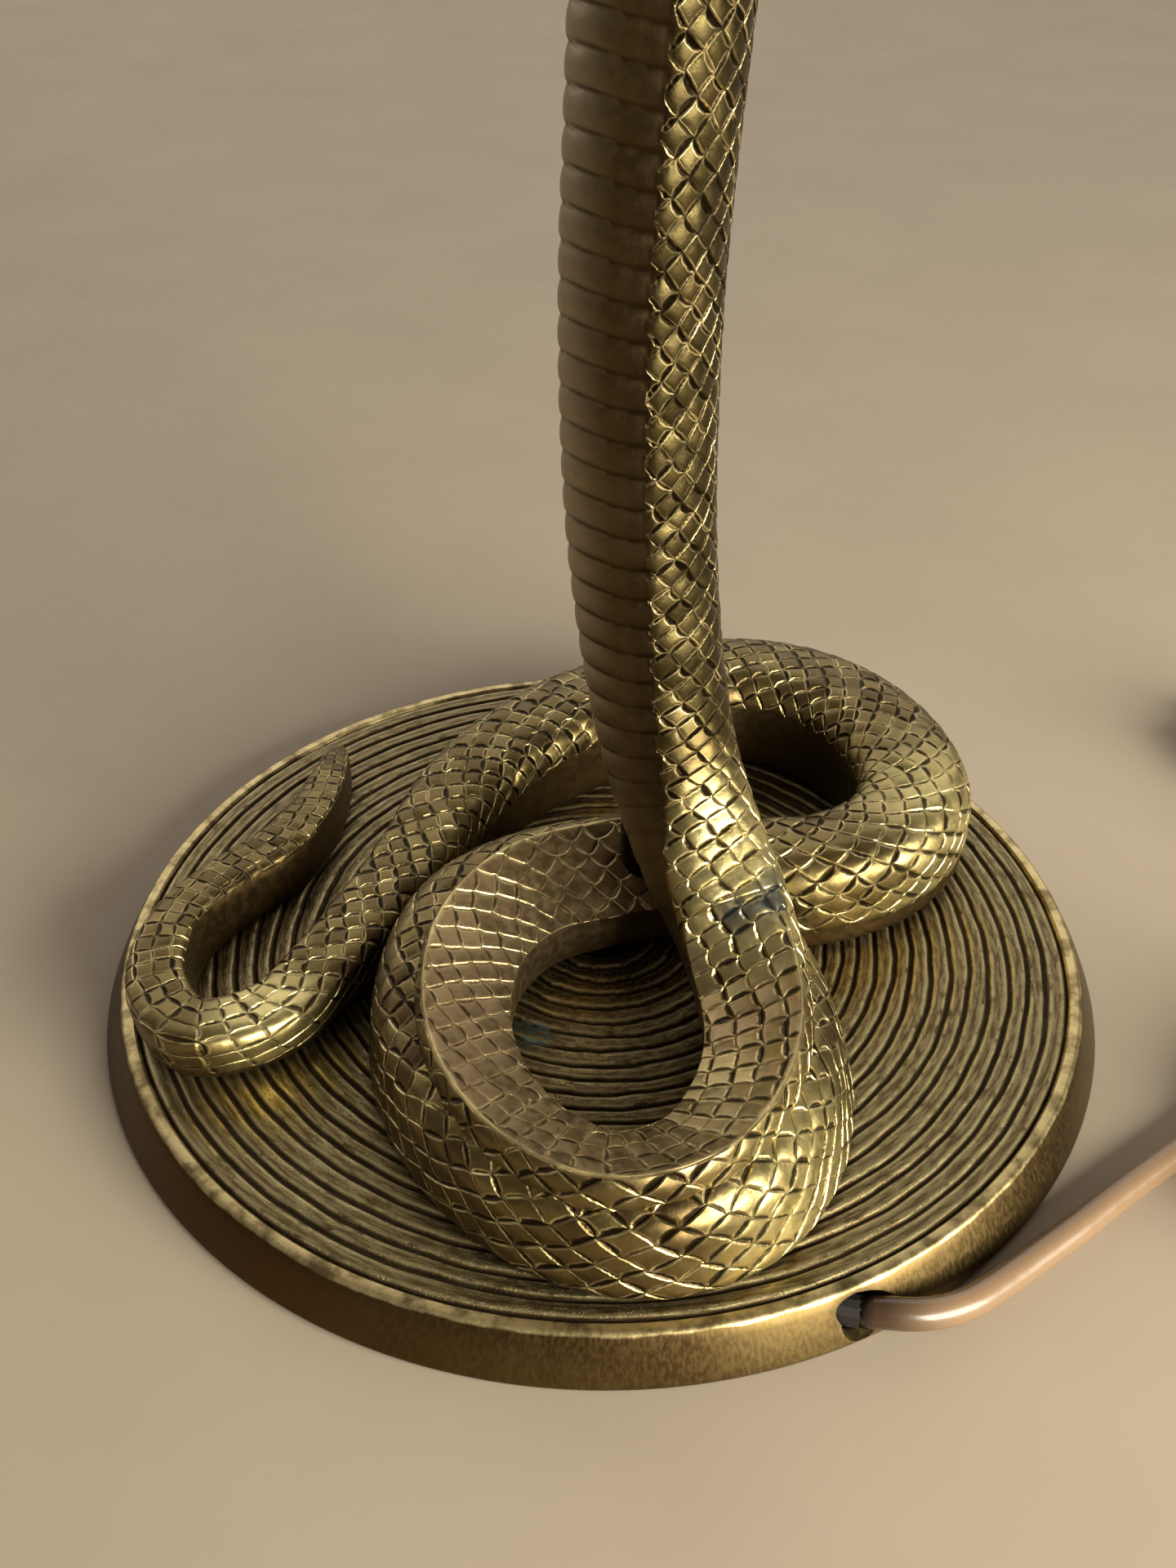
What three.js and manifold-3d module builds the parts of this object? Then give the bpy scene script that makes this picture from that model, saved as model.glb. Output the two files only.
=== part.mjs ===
// Bronze cobra table lamp: a coiled snake on a ringed round base, raised to carry a lampholder and a shade.
// Millimetres, +Z up, -Y is the front. The origin is the centre of the base's underside.
import * as THREE from 'three';
import { mergeVertices } from 'three/addons/utils/BufferGeometryUtils.js';
import Module from 'manifold-3d';

const wasm = await Module();
wasm.setup();

const GAP = 0.3; // between pieces that touch

// Base: a shallow cast drum, open below
const BASE_R = 110;
const BASE_TOP_R = 104.9;
const BASE_H = 10.5;
const CEILING_Z = 8.2; // underside of the top skin
const WALL_INNER_R = 105;
const WALL_FOOT_Z = 0.4; // the wall stops just above the felt's underside
const FELT_T = 0.6;
const COVER_Z = [0.9, 1.5];

// Snake that lies on the base, tail tip first: x, y, width, height, lean of the back to the body's left
const TAIL_ROUTE = [
  [-68.3, 65, 2.6, 3, 0], [-67.8, 57.6, 6.8, 7.5, -0.1], [-67.6, 44.6, 9.8, 10, -0.2], [-69.2, 30.4, 12, 11, -0.25],
  [-73.6, 17, 13, 11.8, -0.25], [-82.2, 5.5, 13, 12, -0.25], [-89.4, -5.8, 12.4, 12.2, -0.2],
  [-92.6, -18.3, 12, 12.4, -0.15], [-89.9, -31.4, 13.2, 12.6, -0.2], [-81.8, -40.2, 14.5, 12.8, -0.25],
  [-69, -36, 15, 13.2, -0.25], [-60.5, -23.1, 15.8, 14, -0.22], [-51.5, -5.6, 16.6, 15.5, -0.15],
  [-43.6, 10.9, 17.8, 17.5, -0.1], [-35.6, 28.8, 19.8, 19.5, 0], [-22.6, 47.9, 23, 22, 0],
  [-4.5, 64.4, 26, 23.5, 0], [16, 73.6, 27.2, 24.5, 0], [35.5, 77.2, 28, 25.2, 0], [50, 72.8, 28.6, 25.4, 0],
  [62, 62.5, 28.4, 25.2, 0], [70.6, 46, 27.6, 24.8, 0], [72.3, 29, 26.6, 24.2, 0], [64.2, 14.8, 25, 23.6, 0],
  [49, 6, 24.6, 23.2, 0], [33.5, 4.5, 24.5, 22.8, 0],
];
const LOWER_RING_ROUTE = [
  [33.5, 4.5, 24.5, 22.8, 0], [16, 6, 24.5, 22, 0], [-2, 6, 24.5, 22, 0.05], [-18, 1, 24.5, 22, 0.1],
  [-29.5, -9, 24.5, 22, 0.12], [-35, -25, 24.5, 22, 0.12], [-35, -43, 24.5, 22, 0.12],
  [-29.8, -59, 24.5, 22, 0.12], [-20.5, -73, 24.5, 22, 0.1], [-6, -84.5, 24.5, 22, 0.1],
  [10, -88, 24.5, 22, 0.12], [25, -82, 24.5, 22, 0.2], [34.6, -69, 24.5, 22, 0.28],
  [38.8, -52, 24.5, 22, 0.32], [38.4, -35, 24.5, 22, 0.32], [33.5, -17, 24.5, 22, 0.3],
];

// Upper ring, which climbs into the column: centre x, y, z, width, height
const UPPER_ROUTE = [
  [16, 2, 26, 20, 24], [0, -2, 25.5, 21, 25], [-15, -9, 25.5, 20.5, 25.5], [-25, -24, 25.5, 19.5, 25.5],
  [-27.5, -43, 25.5, 19, 25.5], [-23.5, -62, 25.5, 18.5, 25.5], [-13, -78, 25.5, 18, 25.5],
  [2, -86.5, 25.8, 17.5, 25.5], [17, -81.5, 26, 18.5, 25.5], [26.5, -68, 26.5, 20, 25.5],
  [30.5, -52, 27.5, 21, 25], [29.5, -37, 30, 22, 24.5], [25.9, -24.3, 36, 23.6, 25],
  [19.6, -13.3, 46, 25.2, 26.5], [14.2, -5.2, 59, 26, 27.2], [10.4, -1, 75, 26.2, 27.2],
  [7.9, 0.5, 92, 26.4, 27.4], [6, 1, 112, 26.8, 27.4],
  [5.1, 1, 135, 27, 27.6], [5.1, 1, 160, 27, 27.6], [6.2, 1, 185, 27.2, 28], [7.6, 1, 212, 28, 28.6],
  [8.4, 1, 240, 29.4, 29.6], [8.5, 1, 266, 30.5, 30.5], [8.5, 1, 290, 31, 31],
];
// Where the lower ring climbs to become the upper one, hidden under the column
const CLIMB_ROUTE = [
  [35.5, -40, 21.8, 25, 21.5], [28.5, -20, 22, 27, 22], [21.5, -7.5, 22.6, 26, 23], [13, 0.5, 23.5, 22, 24],
  [3, 1.5, 24, 17, 24.5],
];
const BRAZE_AT = 206; // distance along the upper route where the column is brazed to the coil
const BELLY_TURN = 22; // degrees that the belly turns towards the front on the column

// Hood and head: distance in front of the pipe, z, width, thickness
const HOOD_ROUTE = [
  [0, 290.6, 31, 31], [0.1, 296, 31.3, 31], [2, 305, 34, 30], [6, 319, 44, 26],
  [11, 336, 62, 21], [15.5, 354, 76, 17],
  [18.5, 372, 82, 15], [20.5, 390, 74, 15], [22, 404, 54, 18], [25, 416, 37, 21],
];
const HEAD_ROUTE = [
  [25, 416, 37, 21], [31, 424.5, 31, 21], [41, 428, 34, 21], [53, 426.5, 36, 19.5],
  [65, 422, 29, 15.5], [74, 418, 18, 11], [78.5, 416.2, 8, 6],
];

// Directions on the raised body: the belly's, and across it
const BELLY_DIR = new THREE.Vector3(-0.93, -0.37, 0).normalize();
const LATERAL = new THREE.Vector3(-0.37, 0.93, 0).normalize();

// Lamp pipe and what it carries
const PIPE_X = 8.5;
const PIPE_Y = 1;
const PIPE_R = 5;
const PIPE_BORE_R = 3.5;
const PIPE_Z = [4, 452];
const SLEEVE_Z = [364, 435.7];
const HOLDER_R = 19.5;
const FITTER_Z = 473.3;
const FITTER_T = 2;
const FITTER_R = 25.5;
const SCREW_RING_R = 24.5;

// Shade: an open cone of stiffened fabric
const SHADE_BOTTOM = { r: 150, z: 450 };
const SHADE_TOP = { r: 95, z: 650 };
const SHADE_T = 1;
const SHADE_WIRE_R = 1.6;

// Cord
const CORD_R = 3;
const CORD_SIDES = 8;
const CORD_HOLE = { x: 47.5, y: -96, z: 4.7, r: 3.6, turn: -12 };
const LEAD_ROUTE = [
  [51.9, -96.94, 4.65], [56.5, -97.4, 4.2], [62.2, -96.65, 3.6], [67.5, -94.5, 3.25], [71.8, -91.4, 3.1],
  [77.5, -86.9, 3.05], [84.3, -81.4, 3.05], [91.3, -75.6, 3.05], [99, -69.4, 3.05], [107, -63.2, 3.05],
  [115.3, -57, 3.1], [124, -50.2, 3.2], [135.2, -41.8, 3.7],
];
// Spare cord: turns per layer, distance between turns and between layers, radius of the outer turn
const COIL = { x: 178, y: -68, z: 3.9, start: 125, turns: 3.5, pitch: 6.6, rise: 6.6, outer: 46 };
const COIL_TAIL_ROUTE = [
  [161.6, -23.3, 10.4], [168, -18.4, 8.2], [173, -12.6, 5.2], [177, -5.8, 3.5], [179.8, 1.6, 3.05],
  [181.2, 8.5, 3.7], [181.7, 15.5, 5.5], [181.8, 22.5, 6.75],
];
const PLUG = { x: 181.8, reliefY: 29.3, bodyY: 52, length: 35, width: 35.4, height: 13.7 };
const PIN = { r: 2, length: 19, apart: 18.6, inBody: 6 };

const bronze = { color: 0x7a6533, roughness: 0.42, metalness: 0.9 };
const brass = { color: 0xb08d3e, roughness: 0.3, metalness: 0.95 };
const steel = { color: 0x9a9a98, roughness: 0.35, metalness: 0.9 };
const felt = { color: 0x23422f, roughness: 1, metalness: 0 };
const board = { color: 0x4b3a2a, roughness: 0.9, metalness: 0 };
const ceramic = { color: 0xe9e6dd, roughness: 0.3, metalness: 0 };
const glass = { color: 0xf4f1e6, roughness: 0.05, metalness: 0 };
const linen = { color: 0xe6dac0, roughness: 0.95, metalness: 0 };
const beige = { color: 0xb58f74, roughness: 0.35, metalness: 0 };
const darkPlastic = { color: 0x2b2622, roughness: 0.5, metalness: 0 };
const garnet = { color: 0x5a1412, roughness: 0.15, metalness: 0 };

const group = new THREE.Group();

function add(name, geometry, finish) {
  const mesh = new THREE.Mesh(geometry, new THREE.MeshStandardMaterial(finish));
  mesh.name = name;
  group.add(mesh);
  return mesh;
}

const rad = (degrees) => (degrees * Math.PI) / 180;
const lerp = (a, b, t) => a + (b - a) * t;
const UP = new THREE.Vector3(0, 0, 1);

function table(pairs, at) {
  const last = pairs.length - 1;
  if (at >= pairs[last][0]) return pairs[last][1];
  const i = pairs.findIndex(([key]) => key > at);
  const [[a, from], [b, to]] = [pairs[i - 1], pairs[i]];
  return lerp(from, to, (at - a) / (b - a));
}

// Closed meshes and booleans

function welded(geometry) {
  const plain = geometry.clone();
  plain.deleteAttribute('normal');
  plain.deleteAttribute('uv');
  return mergeVertices(plain, 1e-4);
}

function signedVolume(geometry) {
  const p = geometry.attributes.position;
  const [a, b, c] = [new THREE.Vector3(), new THREE.Vector3(), new THREE.Vector3()];
  let six = 0;
  for (let i = 0; i < geometry.index.count; i += 3) {
    a.fromBufferAttribute(p, geometry.index.getX(i));
    b.fromBufferAttribute(p, geometry.index.getX(i + 1));
    c.fromBufferAttribute(p, geometry.index.getX(i + 2));
    six += a.dot(b.cross(c));
  }
  return six / 6;
}

function outward(geometry) {
  const mesh = welded(geometry);
  if (signedVolume(mesh) < 0) mesh.index.array.reverse();
  return mesh;
}

function solid(geometry) {
  const mesh = outward(geometry);
  const vertProperties = new Float32Array(mesh.attributes.position.array);
  const triVerts = new Uint32Array(mesh.index.array);
  return new wasm.Manifold(new wasm.Mesh({ numProp: 3, vertProperties, triVerts }));
}

function geometryOf(manifold) {
  const { vertProperties, triVerts, numProp } = manifold.getMesh();
  const geometry = new THREE.BufferGeometry();
  const positions = new Float32Array((vertProperties.length / numProp) * 3);
  for (let i = 0; i < positions.length / 3; i += 1) {
    for (let k = 0; k < 3; k += 1) positions[i * 3 + k] = vertProperties[i * numProp + k];
  }
  geometry.setAttribute('position', new THREE.BufferAttribute(positions, 3));
  geometry.setIndex([...triVerts]);
  return geometry;
}

function cut(geometry, ...tools) {
  const rest = tools.reduce((body, tool) => body.subtract(solid(tool)), solid(geometry));
  return geometryOf(rest);
}

function join(...geometries) {
  const [first, ...others] = geometries.map(solid);
  return geometryOf(others.reduce((body, other) => body.add(other), first));
}

// Simple round shapes

function lathe(profile, segments = 32, x = 0, y = 0) {
  const points = profile.map(([r, z]) => new THREE.Vector2(r, z));
  const geometry = new THREE.LatheGeometry(points, segments);
  geometry.rotateX(Math.PI / 2);
  return outward(geometry.translate(x, y, 0));
}

function ring(rIn, rOut, zLow, zHigh, segments = 32, x = 0, y = 0) {
  const profile = [[rIn, zLow], [rOut, zLow], [rOut, zHigh], [rIn, zHigh], [rIn, zLow]];
  return lathe(profile, segments, x, y);
}

function disc(r, zLow, zHigh, segments = 32, x = 0, y = 0) {
  return lathe([[0, zLow], [r, zLow], [r, zHigh], [0, zHigh]], segments, x, y);
}

function rod(from, to, r, sides = 16) {
  const start = new THREE.Vector3(...from);
  const along = new THREE.Vector3(...to).sub(start);
  const geometry = new THREE.CylinderGeometry(r, r, along.length(), sides);
  geometry.translate(0, along.length() / 2, 0);
  const direction = along.clone().normalize();
  const turn = new THREE.Quaternion().setFromUnitVectors(new THREE.Vector3(0, 1, 0), direction);
  return geometry.applyQuaternion(turn).translate(start.x, start.y, start.z);
}

function hexNut(acrossFlats, boreR, zLow, zHigh, x, y) {
  const outline = new THREE.Shape();
  for (let i = 0; i < 6; i += 1) {
    const angle = rad(60 * i);
    const corner = acrossFlats / Math.sqrt(3);
    const place = [corner * Math.cos(angle), corner * Math.sin(angle)];
    if (i === 0) outline.moveTo(...place);
    else outline.lineTo(...place);
  }
  outline.holes.push(new THREE.Path().absarc(0, 0, boreR, 0, Math.PI * 2));
  const options = { depth: zHigh - zLow, bevelEnabled: false, curveSegments: 18 };
  return new THREE.ExtrudeGeometry(outline, options).translate(x, y, zLow);
}

// Swept bodies: a section carried along a path in a frame that doesn't twist

function framed(centres, alongs, firstSide) {
  const side = firstSide.clone();
  return centres.map((centre, i) => {
    const along = alongs[i];
    side.addScaledVector(along, -side.dot(along)).normalize();
    return { centre, along, side: side.clone(), up: new THREE.Vector3().crossVectors(side, along) };
  });
}

function stationsAlong(points, spacing, firstSide) {
  const curve = new THREE.CatmullRomCurve3(points, false, 'centripetal');
  const length = curve.getLength();
  const steps = Math.round(length / spacing);
  const shares = Array.from({ length: steps + 1 }, (_, i) => i / steps);
  const alongs = shares.map((share) => curve.getTangentAt(share));
  const side = firstSide ?? new THREE.Vector3().crossVectors(alongs[0], UP);
  return framed(shares.map((share) => curve.getPointAt(share)), alongs, side).map((station, i) => ({
    ...station,
    at: shares[i] * length,
    knot: curve.getUtoTmapping(shares[i]) * (points.length - 1),
  }));
}

// Every column of the rows at a place that is a whole number at each row
function rowAt(rows, knot) {
  const low = Math.min(Math.floor(knot), rows.length - 2);
  return rows[low].map((value, column) => lerp(value, rows[low + 1][column], knot - low));
}

// Rows of x, y, z, width, height become stations with their size between the rows' sizes
function sizedStations(rows, spacing, firstSide) {
  const points = rows.map(([x, y, z]) => new THREE.Vector3(x, y, z));
  return stationsAlong(points, spacing, firstSide).map((station) => {
    const [, , , width, height] = rowAt(rows, station.knot);
    return { ...station, width, height };
  });
}

// outline(station, angle) gives the section's place across and up at one angle
function sweep(stations, sides, outline) {
  const positions = [];
  const index = [];
  for (const station of stations) {
    for (let k = 0; k < sides; k += 1) {
      const [across, upward] = outline(station, (2 * Math.PI * k) / sides);
      const point = station.centre.clone();
      point.addScaledVector(station.side, across).addScaledVector(station.up, upward);
      positions.push(...point);
    }
  }
  const last = stations.length - 1;
  for (let i = 0; i < last; i += 1) {
    for (let k = 0; k < sides; k += 1) {
      const [a, b] = [i * sides + k, i * sides + ((k + 1) % sides)];
      index.push(a, b, a + sides, b, b + sides, a + sides);
    }
  }
  const firstCap = positions.length / 3;
  positions.push(...stations[0].centre, ...stations[last].centre);
  for (let k = 0; k < sides; k += 1) {
    index.push(firstCap, (k + 1) % sides, k);
    index.push(firstCap + 1, last * sides + k, last * sides + ((k + 1) % sides));
  }
  const geometry = new THREE.BufferGeometry();
  geometry.setAttribute('position', new THREE.BufferAttribute(new Float32Array(positions), 3));
  geometry.setIndex(index);
  return outward(geometry);
}

// Superellipse: an exponent of 1 is an ellipse, and below 1 it grows squarer
const power = (value, exponent) => Math.sign(value) * Math.abs(value) ** exponent;

// Tail, loops and lower ring: a round back, a steeper right-hand side, and a foot square on the base
const BODY_SIDES = 14;
const BODY_SPACING = 9;
const ROUND_BACK = 0.95;
const STEEP_SIDE = 0.65;
const SQUARE_FOOT = 0.25;

function lyingStations(rows) {
  const points = rows.map(([x, y]) => new THREE.Vector3(x, y, BASE_H + GAP));
  return stationsAlong(points, BODY_SPACING).map((station) => {
    const [, , width, height, lean] = rowAt(rows, station.knot);
    const centre = station.centre.clone().setZ(BASE_H + GAP + height / 2);
    return { ...station, centre, width, height, lean };
  });
}

function lyingExponent(angle) {
  if (Math.sin(angle) <= 0) return SQUARE_FOOT;
  return Math.cos(angle) > 0 ? STEEP_SIDE : ROUND_BACK;
}

function lyingBody(stations, grow = 0) {
  return sweep(stations, BODY_SIDES, ({ width, height, lean }, angle) => {
    const exponent = lyingExponent(angle);
    const upward = (height / 2 + grow) * power(Math.sin(angle), exponent);
    return [(width / 2 + grow) * power(Math.cos(angle), exponent) - lean * (upward + height / 2), upward];
  });
}

// Upper ring and column: the ring's top is a flat band that leans inwards and has a crisp outer edge,
// and further along it turns round and swings its belly towards the front
const BAND_OUTER_RISE = 12.3; // crisp edge above the body's centre
const BAND_LEAN = [[0, 0.65], [70, 0.5], [126, 0.36], [175, 0.47], [600, 0.5]];
const ROUND_FROM = 185;
const ROUND_BY = 245;
const TURN_BY = 300;
const SQUARE_RING = 0.5;
const ROUND_COLUMN = 0.95;

function upperStations() {
  const stations = sizedStations(UPPER_ROUTE, BODY_SPACING);
  for (const station of stations) {
    station.round = THREE.MathUtils.smoothstep(station.at, ROUND_FROM, ROUND_BY);
    const turn = rad(BELLY_TURN) * THREE.MathUtils.smoothstep(station.at, ROUND_FROM, TURN_BY);
    station.side.applyAxisAngle(station.along, turn);
    station.up.applyAxisAngle(station.along, turn);
  }
  return stations;
}

function upperBody(stations, grow = 0) {
  return sweep(stations, BODY_SIDES, (station, angle) => {
    const exponent = lerp(SQUARE_RING, ROUND_COLUMN, station.round);
    const across = (station.width / 2 + grow) * power(Math.cos(angle), exponent);
    const upward = (station.height / 2 + grow) * power(Math.sin(angle), exponent);
    const drop = table(BAND_LEAN, station.at) * (station.width / 2 - across);
    return [across, Math.min(upward, BAND_OUTER_RISE + grow - drop + station.round * station.height)];
  });
}

// Moves the first station on by one gap, so that two castings meet face to face
function afterGap(stations) {
  const [first, ...others] = stations;
  const centre = first.centre.clone().addScaledVector(first.along, GAP);
  return [{ ...first, centre }, ...others];
}

// Rows of distance in front of the pipe, z, width, thickness become stations that face the belly's way
function frontStations(rows, spacing) {
  const placed = rows.map(([front, z, width, thickness]) => {
    const place = BELLY_DIR.clone().multiplyScalar(front);
    return [PIPE_X + place.x, PIPE_Y + place.y, z, width, thickness];
  });
  return sizedStations(placed, spacing, LATERAL);
}

// An oval whose lower half may be squarer than its upper half
function ovalBody(stations, lowerExponent = 1) {
  return sweep(stations, BODY_SIDES, ({ width, height }, angle) => {
    const exponent = Math.sin(angle) > 0 ? 1 : lowerExponent;
    return [(width / 2) * Math.cos(angle), (height / 2) * power(Math.sin(angle), exponent)];
  });
}

// Snake castings

const SCREW_PLACES = [[-35.5, -35], [39.5, -45], [40, 79]];
const SCREW_R = 2.4;
const SCREW_TOP_Z = 21;
const screwBores = SCREW_PLACES.map(([x, y]) => disc(SCREW_R + GAP, 0, SCREW_TOP_Z + 1, 16, x, y));
const pipeBore = (zLow, zHigh) => disc(PIPE_R + GAP, zLow, zHigh, 24, PIPE_X, PIPE_Y);

const upper = upperStations();
const brazeIndex = upper.findIndex((station) => station.at >= BRAZE_AT);
const raised = upper.slice(brazeIndex);
const aroundColumn = upperBody(raised, GAP);
const tailStations = lyingStations(TAIL_ROUTE);
const ringStations = lyingStations(LOWER_RING_ROUTE);

add('snake_tail_casting', cut(lyingBody(tailStations), aroundColumn, screwBores[2]), bronze);
const climb = ovalBody(sizedStations(CLIMB_ROUTE, BODY_SPACING), SQUARE_FOOT);
const rings = join(lyingBody(afterGap(ringStations)), climb, upperBody(upper.slice(0, brazeIndex + 1)));
add('snake_coil_casting', cut(rings, aroundColumn, lyingBody(tailStations, GAP), pipeBore(0, 80),
  screwBores[0], screwBores[1]), bronze);
add('snake_column_casting', cut(upperBody(afterGap(raised)), pipeBore(20, 300)), bronze);
const hoodStations = frontStations(HOOD_ROUTE, 6);
add('snake_hood_casting', cut(ovalBody(hoodStations), pipeBore(280, 420)), bronze);

// Head, eyes and tongue

const MOUTH_SQUARENESS = 0.7;
const EYE_R = 2.4;
const EYE_AT = { front: 57, z: 429.5, sideways: 14.3 };
const TONGUE_AT = { front: 79, z: 415.2 };
const TONGUE_DROOP = 10;

function onHead(front, z, sideways) {
  const place = new THREE.Vector3(PIPE_X, PIPE_Y, z);
  return place.addScaledVector(BELLY_DIR, front).addScaledVector(LATERAL, sideways);
}

function eye(sideSign, r) {
  const place = onHead(EYE_AT.front, EYE_AT.z, sideSign * EYE_AT.sideways);
  return outward(new THREE.SphereGeometry(r, 10, 8).translate(...place));
}

// Forked tongue: a thin strip with two tips, lying in a slot in the mouth
function tongue(grow) {
  const half = 1.3 + grow;
  const tip = 15 + grow;
  const outline = new THREE.Shape([
    [-12 - grow, -half], [8, -half], [tip, -half - 2], [tip, -half - 0.6], [9.5, 0],
    [tip, half + 0.6], [tip, half + 2], [8, half], [-12 - grow, half],
  ].map(([x, y]) => new THREE.Vector2(x, y)));
  const depth = 0.9 + 2 * grow;
  const strip = new THREE.ExtrudeGeometry(outline, { depth, bevelEnabled: false });
  strip.translate(0, 0, -depth / 2);
  const facing = new THREE.Matrix4().makeBasis(BELLY_DIR, LATERAL.clone().negate(), UP);
  strip.rotateY(rad(TONGUE_DROOP)).applyMatrix4(facing);
  return outward(strip.translate(...onHead(TONGUE_AT.front, TONGUE_AT.z, 0)));
}

const headStations = afterGap([hoodStations.at(-1), ...frontStations(HEAD_ROUTE, 5).slice(1)]);
add('snake_head_casting', cut(ovalBody(headStations, MOUTH_SQUARENESS),
  eye(1, EYE_R + GAP), eye(-1, EYE_R + GAP), tongue(GAP)), bronze);
add('snake_eye_left', eye(-1, EYE_R), garnet);
add('snake_eye_right', eye(1, EYE_R), garnet);
add('snake_tongue', tongue(0), brass);

// Base: the cord's hole is drilled at a slant through the wall

const BASE_PROFILE = [
  [0, CEILING_Z], [WALL_INNER_R - 3, CEILING_Z], [WALL_INNER_R, CEILING_Z - 2], [WALL_INNER_R, WALL_FOOT_Z],
  [BASE_R - 0.7, WALL_FOOT_Z], [BASE_R, 1.3], [108.3, 6], [106, 9.6], [BASE_TOP_R, BASE_H],
  [0, BASE_H],
];
const holeTurn = rad(CORD_HOLE.turn);
const CLAMP_AT = -32;
const JAW = { length: 10, width: 7.4, zLow: 3.95, zHigh: 7.85, aside: 6 };
const CLAMP_SCREW = { r: 1.4, headR: 2.6, zLow: 2.1, zHead: 3.65, zHigh: 9.5 };

// A place on the line that the cord takes through the hole, outwards from the wall, and beside it
const alongHole = (distance, aside = 0) => [
  CORD_HOLE.x + Math.cos(holeTurn) * distance - Math.sin(holeTurn) * aside,
  CORD_HOLE.y + Math.sin(holeTurn) * distance + Math.cos(holeTurn) * aside,
];
const cordPoint = (distance) => [...alongHole(distance), CORD_HOLE.z];
const clampPlaces = { inner: alongHole(CLAMP_AT, JAW.aside), outer: alongHole(CLAMP_AT, -JAW.aside) };
const clampBore = ([x, y]) => disc(CLAMP_SCREW.r + GAP, 3, CLAMP_SCREW.zHigh + GAP, 12, x, y);

add('base_casting', cut(lathe(BASE_PROFILE, 64), rod(cordPoint(-16), cordPoint(20), CORD_HOLE.r, 20),
  pipeBore(0, 20), ...screwBores, clampBore(clampPlaces.inner), clampBore(clampPlaces.outer)), bronze);
add('base_cover', disc(WALL_INNER_R - 0.5, ...COVER_Z, 36), board);
add('felt_pad', disc(WALL_INNER_R - 0.8, 0, FELT_T, 36), felt);

function clampJaw([x, y]) {
  const block = new THREE.BoxGeometry(JAW.length, JAW.width, JAW.zHigh - JAW.zLow);
  block.rotateZ(holeTurn).translate(x, y, (JAW.zLow + JAW.zHigh) / 2);
  const groove = rod(cordPoint(CLAMP_AT - JAW.length), cordPoint(CLAMP_AT + JAW.length), CORD_R + GAP, 16);
  return cut(block, groove, clampBore([x, y]));
}

// A screw seen as a turned shape: head, shank, and z where each ends
function screw({ r, headR, zLow, zHead, zHigh }, x, y) {
  return lathe([[0, zLow], [headR, zLow], [headR, zHead], [r, zHead], [r, zHigh], [0, zHigh]], 16, x, y);
}

for (const [name, place] of Object.entries(clampPlaces)) {
  add(`cord_clamp_jaw_${name}`, clampJaw(place), steel);
  add(`cord_clamp_screw_${name}`, screw(CLAMP_SCREW, ...place), steel);
}

SCREW_PLACES.forEach(([x, y], i) => {
  const size = { r: SCREW_R, headR: 4.3, zLow: 4.3, zHead: 6.8, zHigh: SCREW_TOP_Z };
  add(`snake_screw_${i + 1}`, screw(size, x, y), steel);
  add(`snake_screw_washer_${i + 1}`, ring(SCREW_R + GAP, 5.6, 7.1, 7.9, 24, x, y), steel);
});

// Lamp pipe, nuts and sleeve, all on the pipe's axis

const onPipe = (profile, segments = 24) => lathe(profile, segments, PIPE_X, PIPE_Y);
const pipeRing = (rIn, rOut, zLow, zHigh, segments = 24) =>
  ring(rIn, rOut, zLow, zHigh, segments, PIPE_X, PIPE_Y);
const pipeDisc = (r, zLow, zHigh) => disc(r, zLow, zHigh, 16, PIPE_X, PIPE_Y);
const pipeNut = (zLow, zHigh) => hexNut(17, PIPE_R + GAP, zLow, zHigh, PIPE_X, PIPE_Y);

add('lamp_pipe', pipeRing(PIPE_BORE_R, PIPE_R, ...PIPE_Z), brass);
add('pipe_foot_nut', pipeNut(4.2, 6.8), steel);
add('pipe_foot_washer', pipeRing(PIPE_R + GAP, 11, 7.1, 7.9), steel);
add('pipe_sleeve', pipeRing(PIPE_R + GAP, 7, ...SLEEVE_Z), brass);
add('pipe_locknut', pipeNut(436, 439.7), brass);

// Lampholder with a rotary switch in its cap

const SWITCH_Z = 456.8;
const SPINDLE_R = 1.6;
const SPINDLE_REACH = [15, 29]; // from the pipe's axis towards the front
const KEY = { width: 15, depth: 4.5, height: 7, hubR: 3.6 };
const onSpindle = (reach) => [PIPE_X, PIPE_Y - reach, SWITCH_Z];
const spindle = (r, grow = 0) =>
  rod(onSpindle(SPINDLE_REACH[0] - grow), onSpindle(SPINDLE_REACH[1] + grow), r);

add('holder_cap', cut(onPipe([
  [PIPE_R + GAP, 440], [9, 440], [12, 444.5], [17, 449], [HOLDER_R, 452.5], [HOLDER_R, 462],
  [HOLDER_R - 1.6, 462], [HOLDER_R - 1.6, 453.5], [16, 450.8], [11, 446.5], [PIPE_R + GAP, 444],
  [PIPE_R + GAP, 440],
], 28), spindle(SPINDLE_R + GAP)), brass);
add('holder_insert', onPipe([
  [0, 460], [16.6, 460], [16.6, 488], [13.9, 488], [13.9, 471], [7, 471], [7, 464.5], [0, 464.5],
]), ceramic);
add('holder_contact', pipeDisc(2.4, 464.8, 470.2), brass);
add('holder_shell', pipeRing(16.9, HOLDER_R, 462.3, 492, 28), brass);
add('shade_ring_lower', pipeRing(HOLDER_R + GAP, SCREW_RING_R, 469.5, FITTER_Z - GAP, 28), brass);

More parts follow.
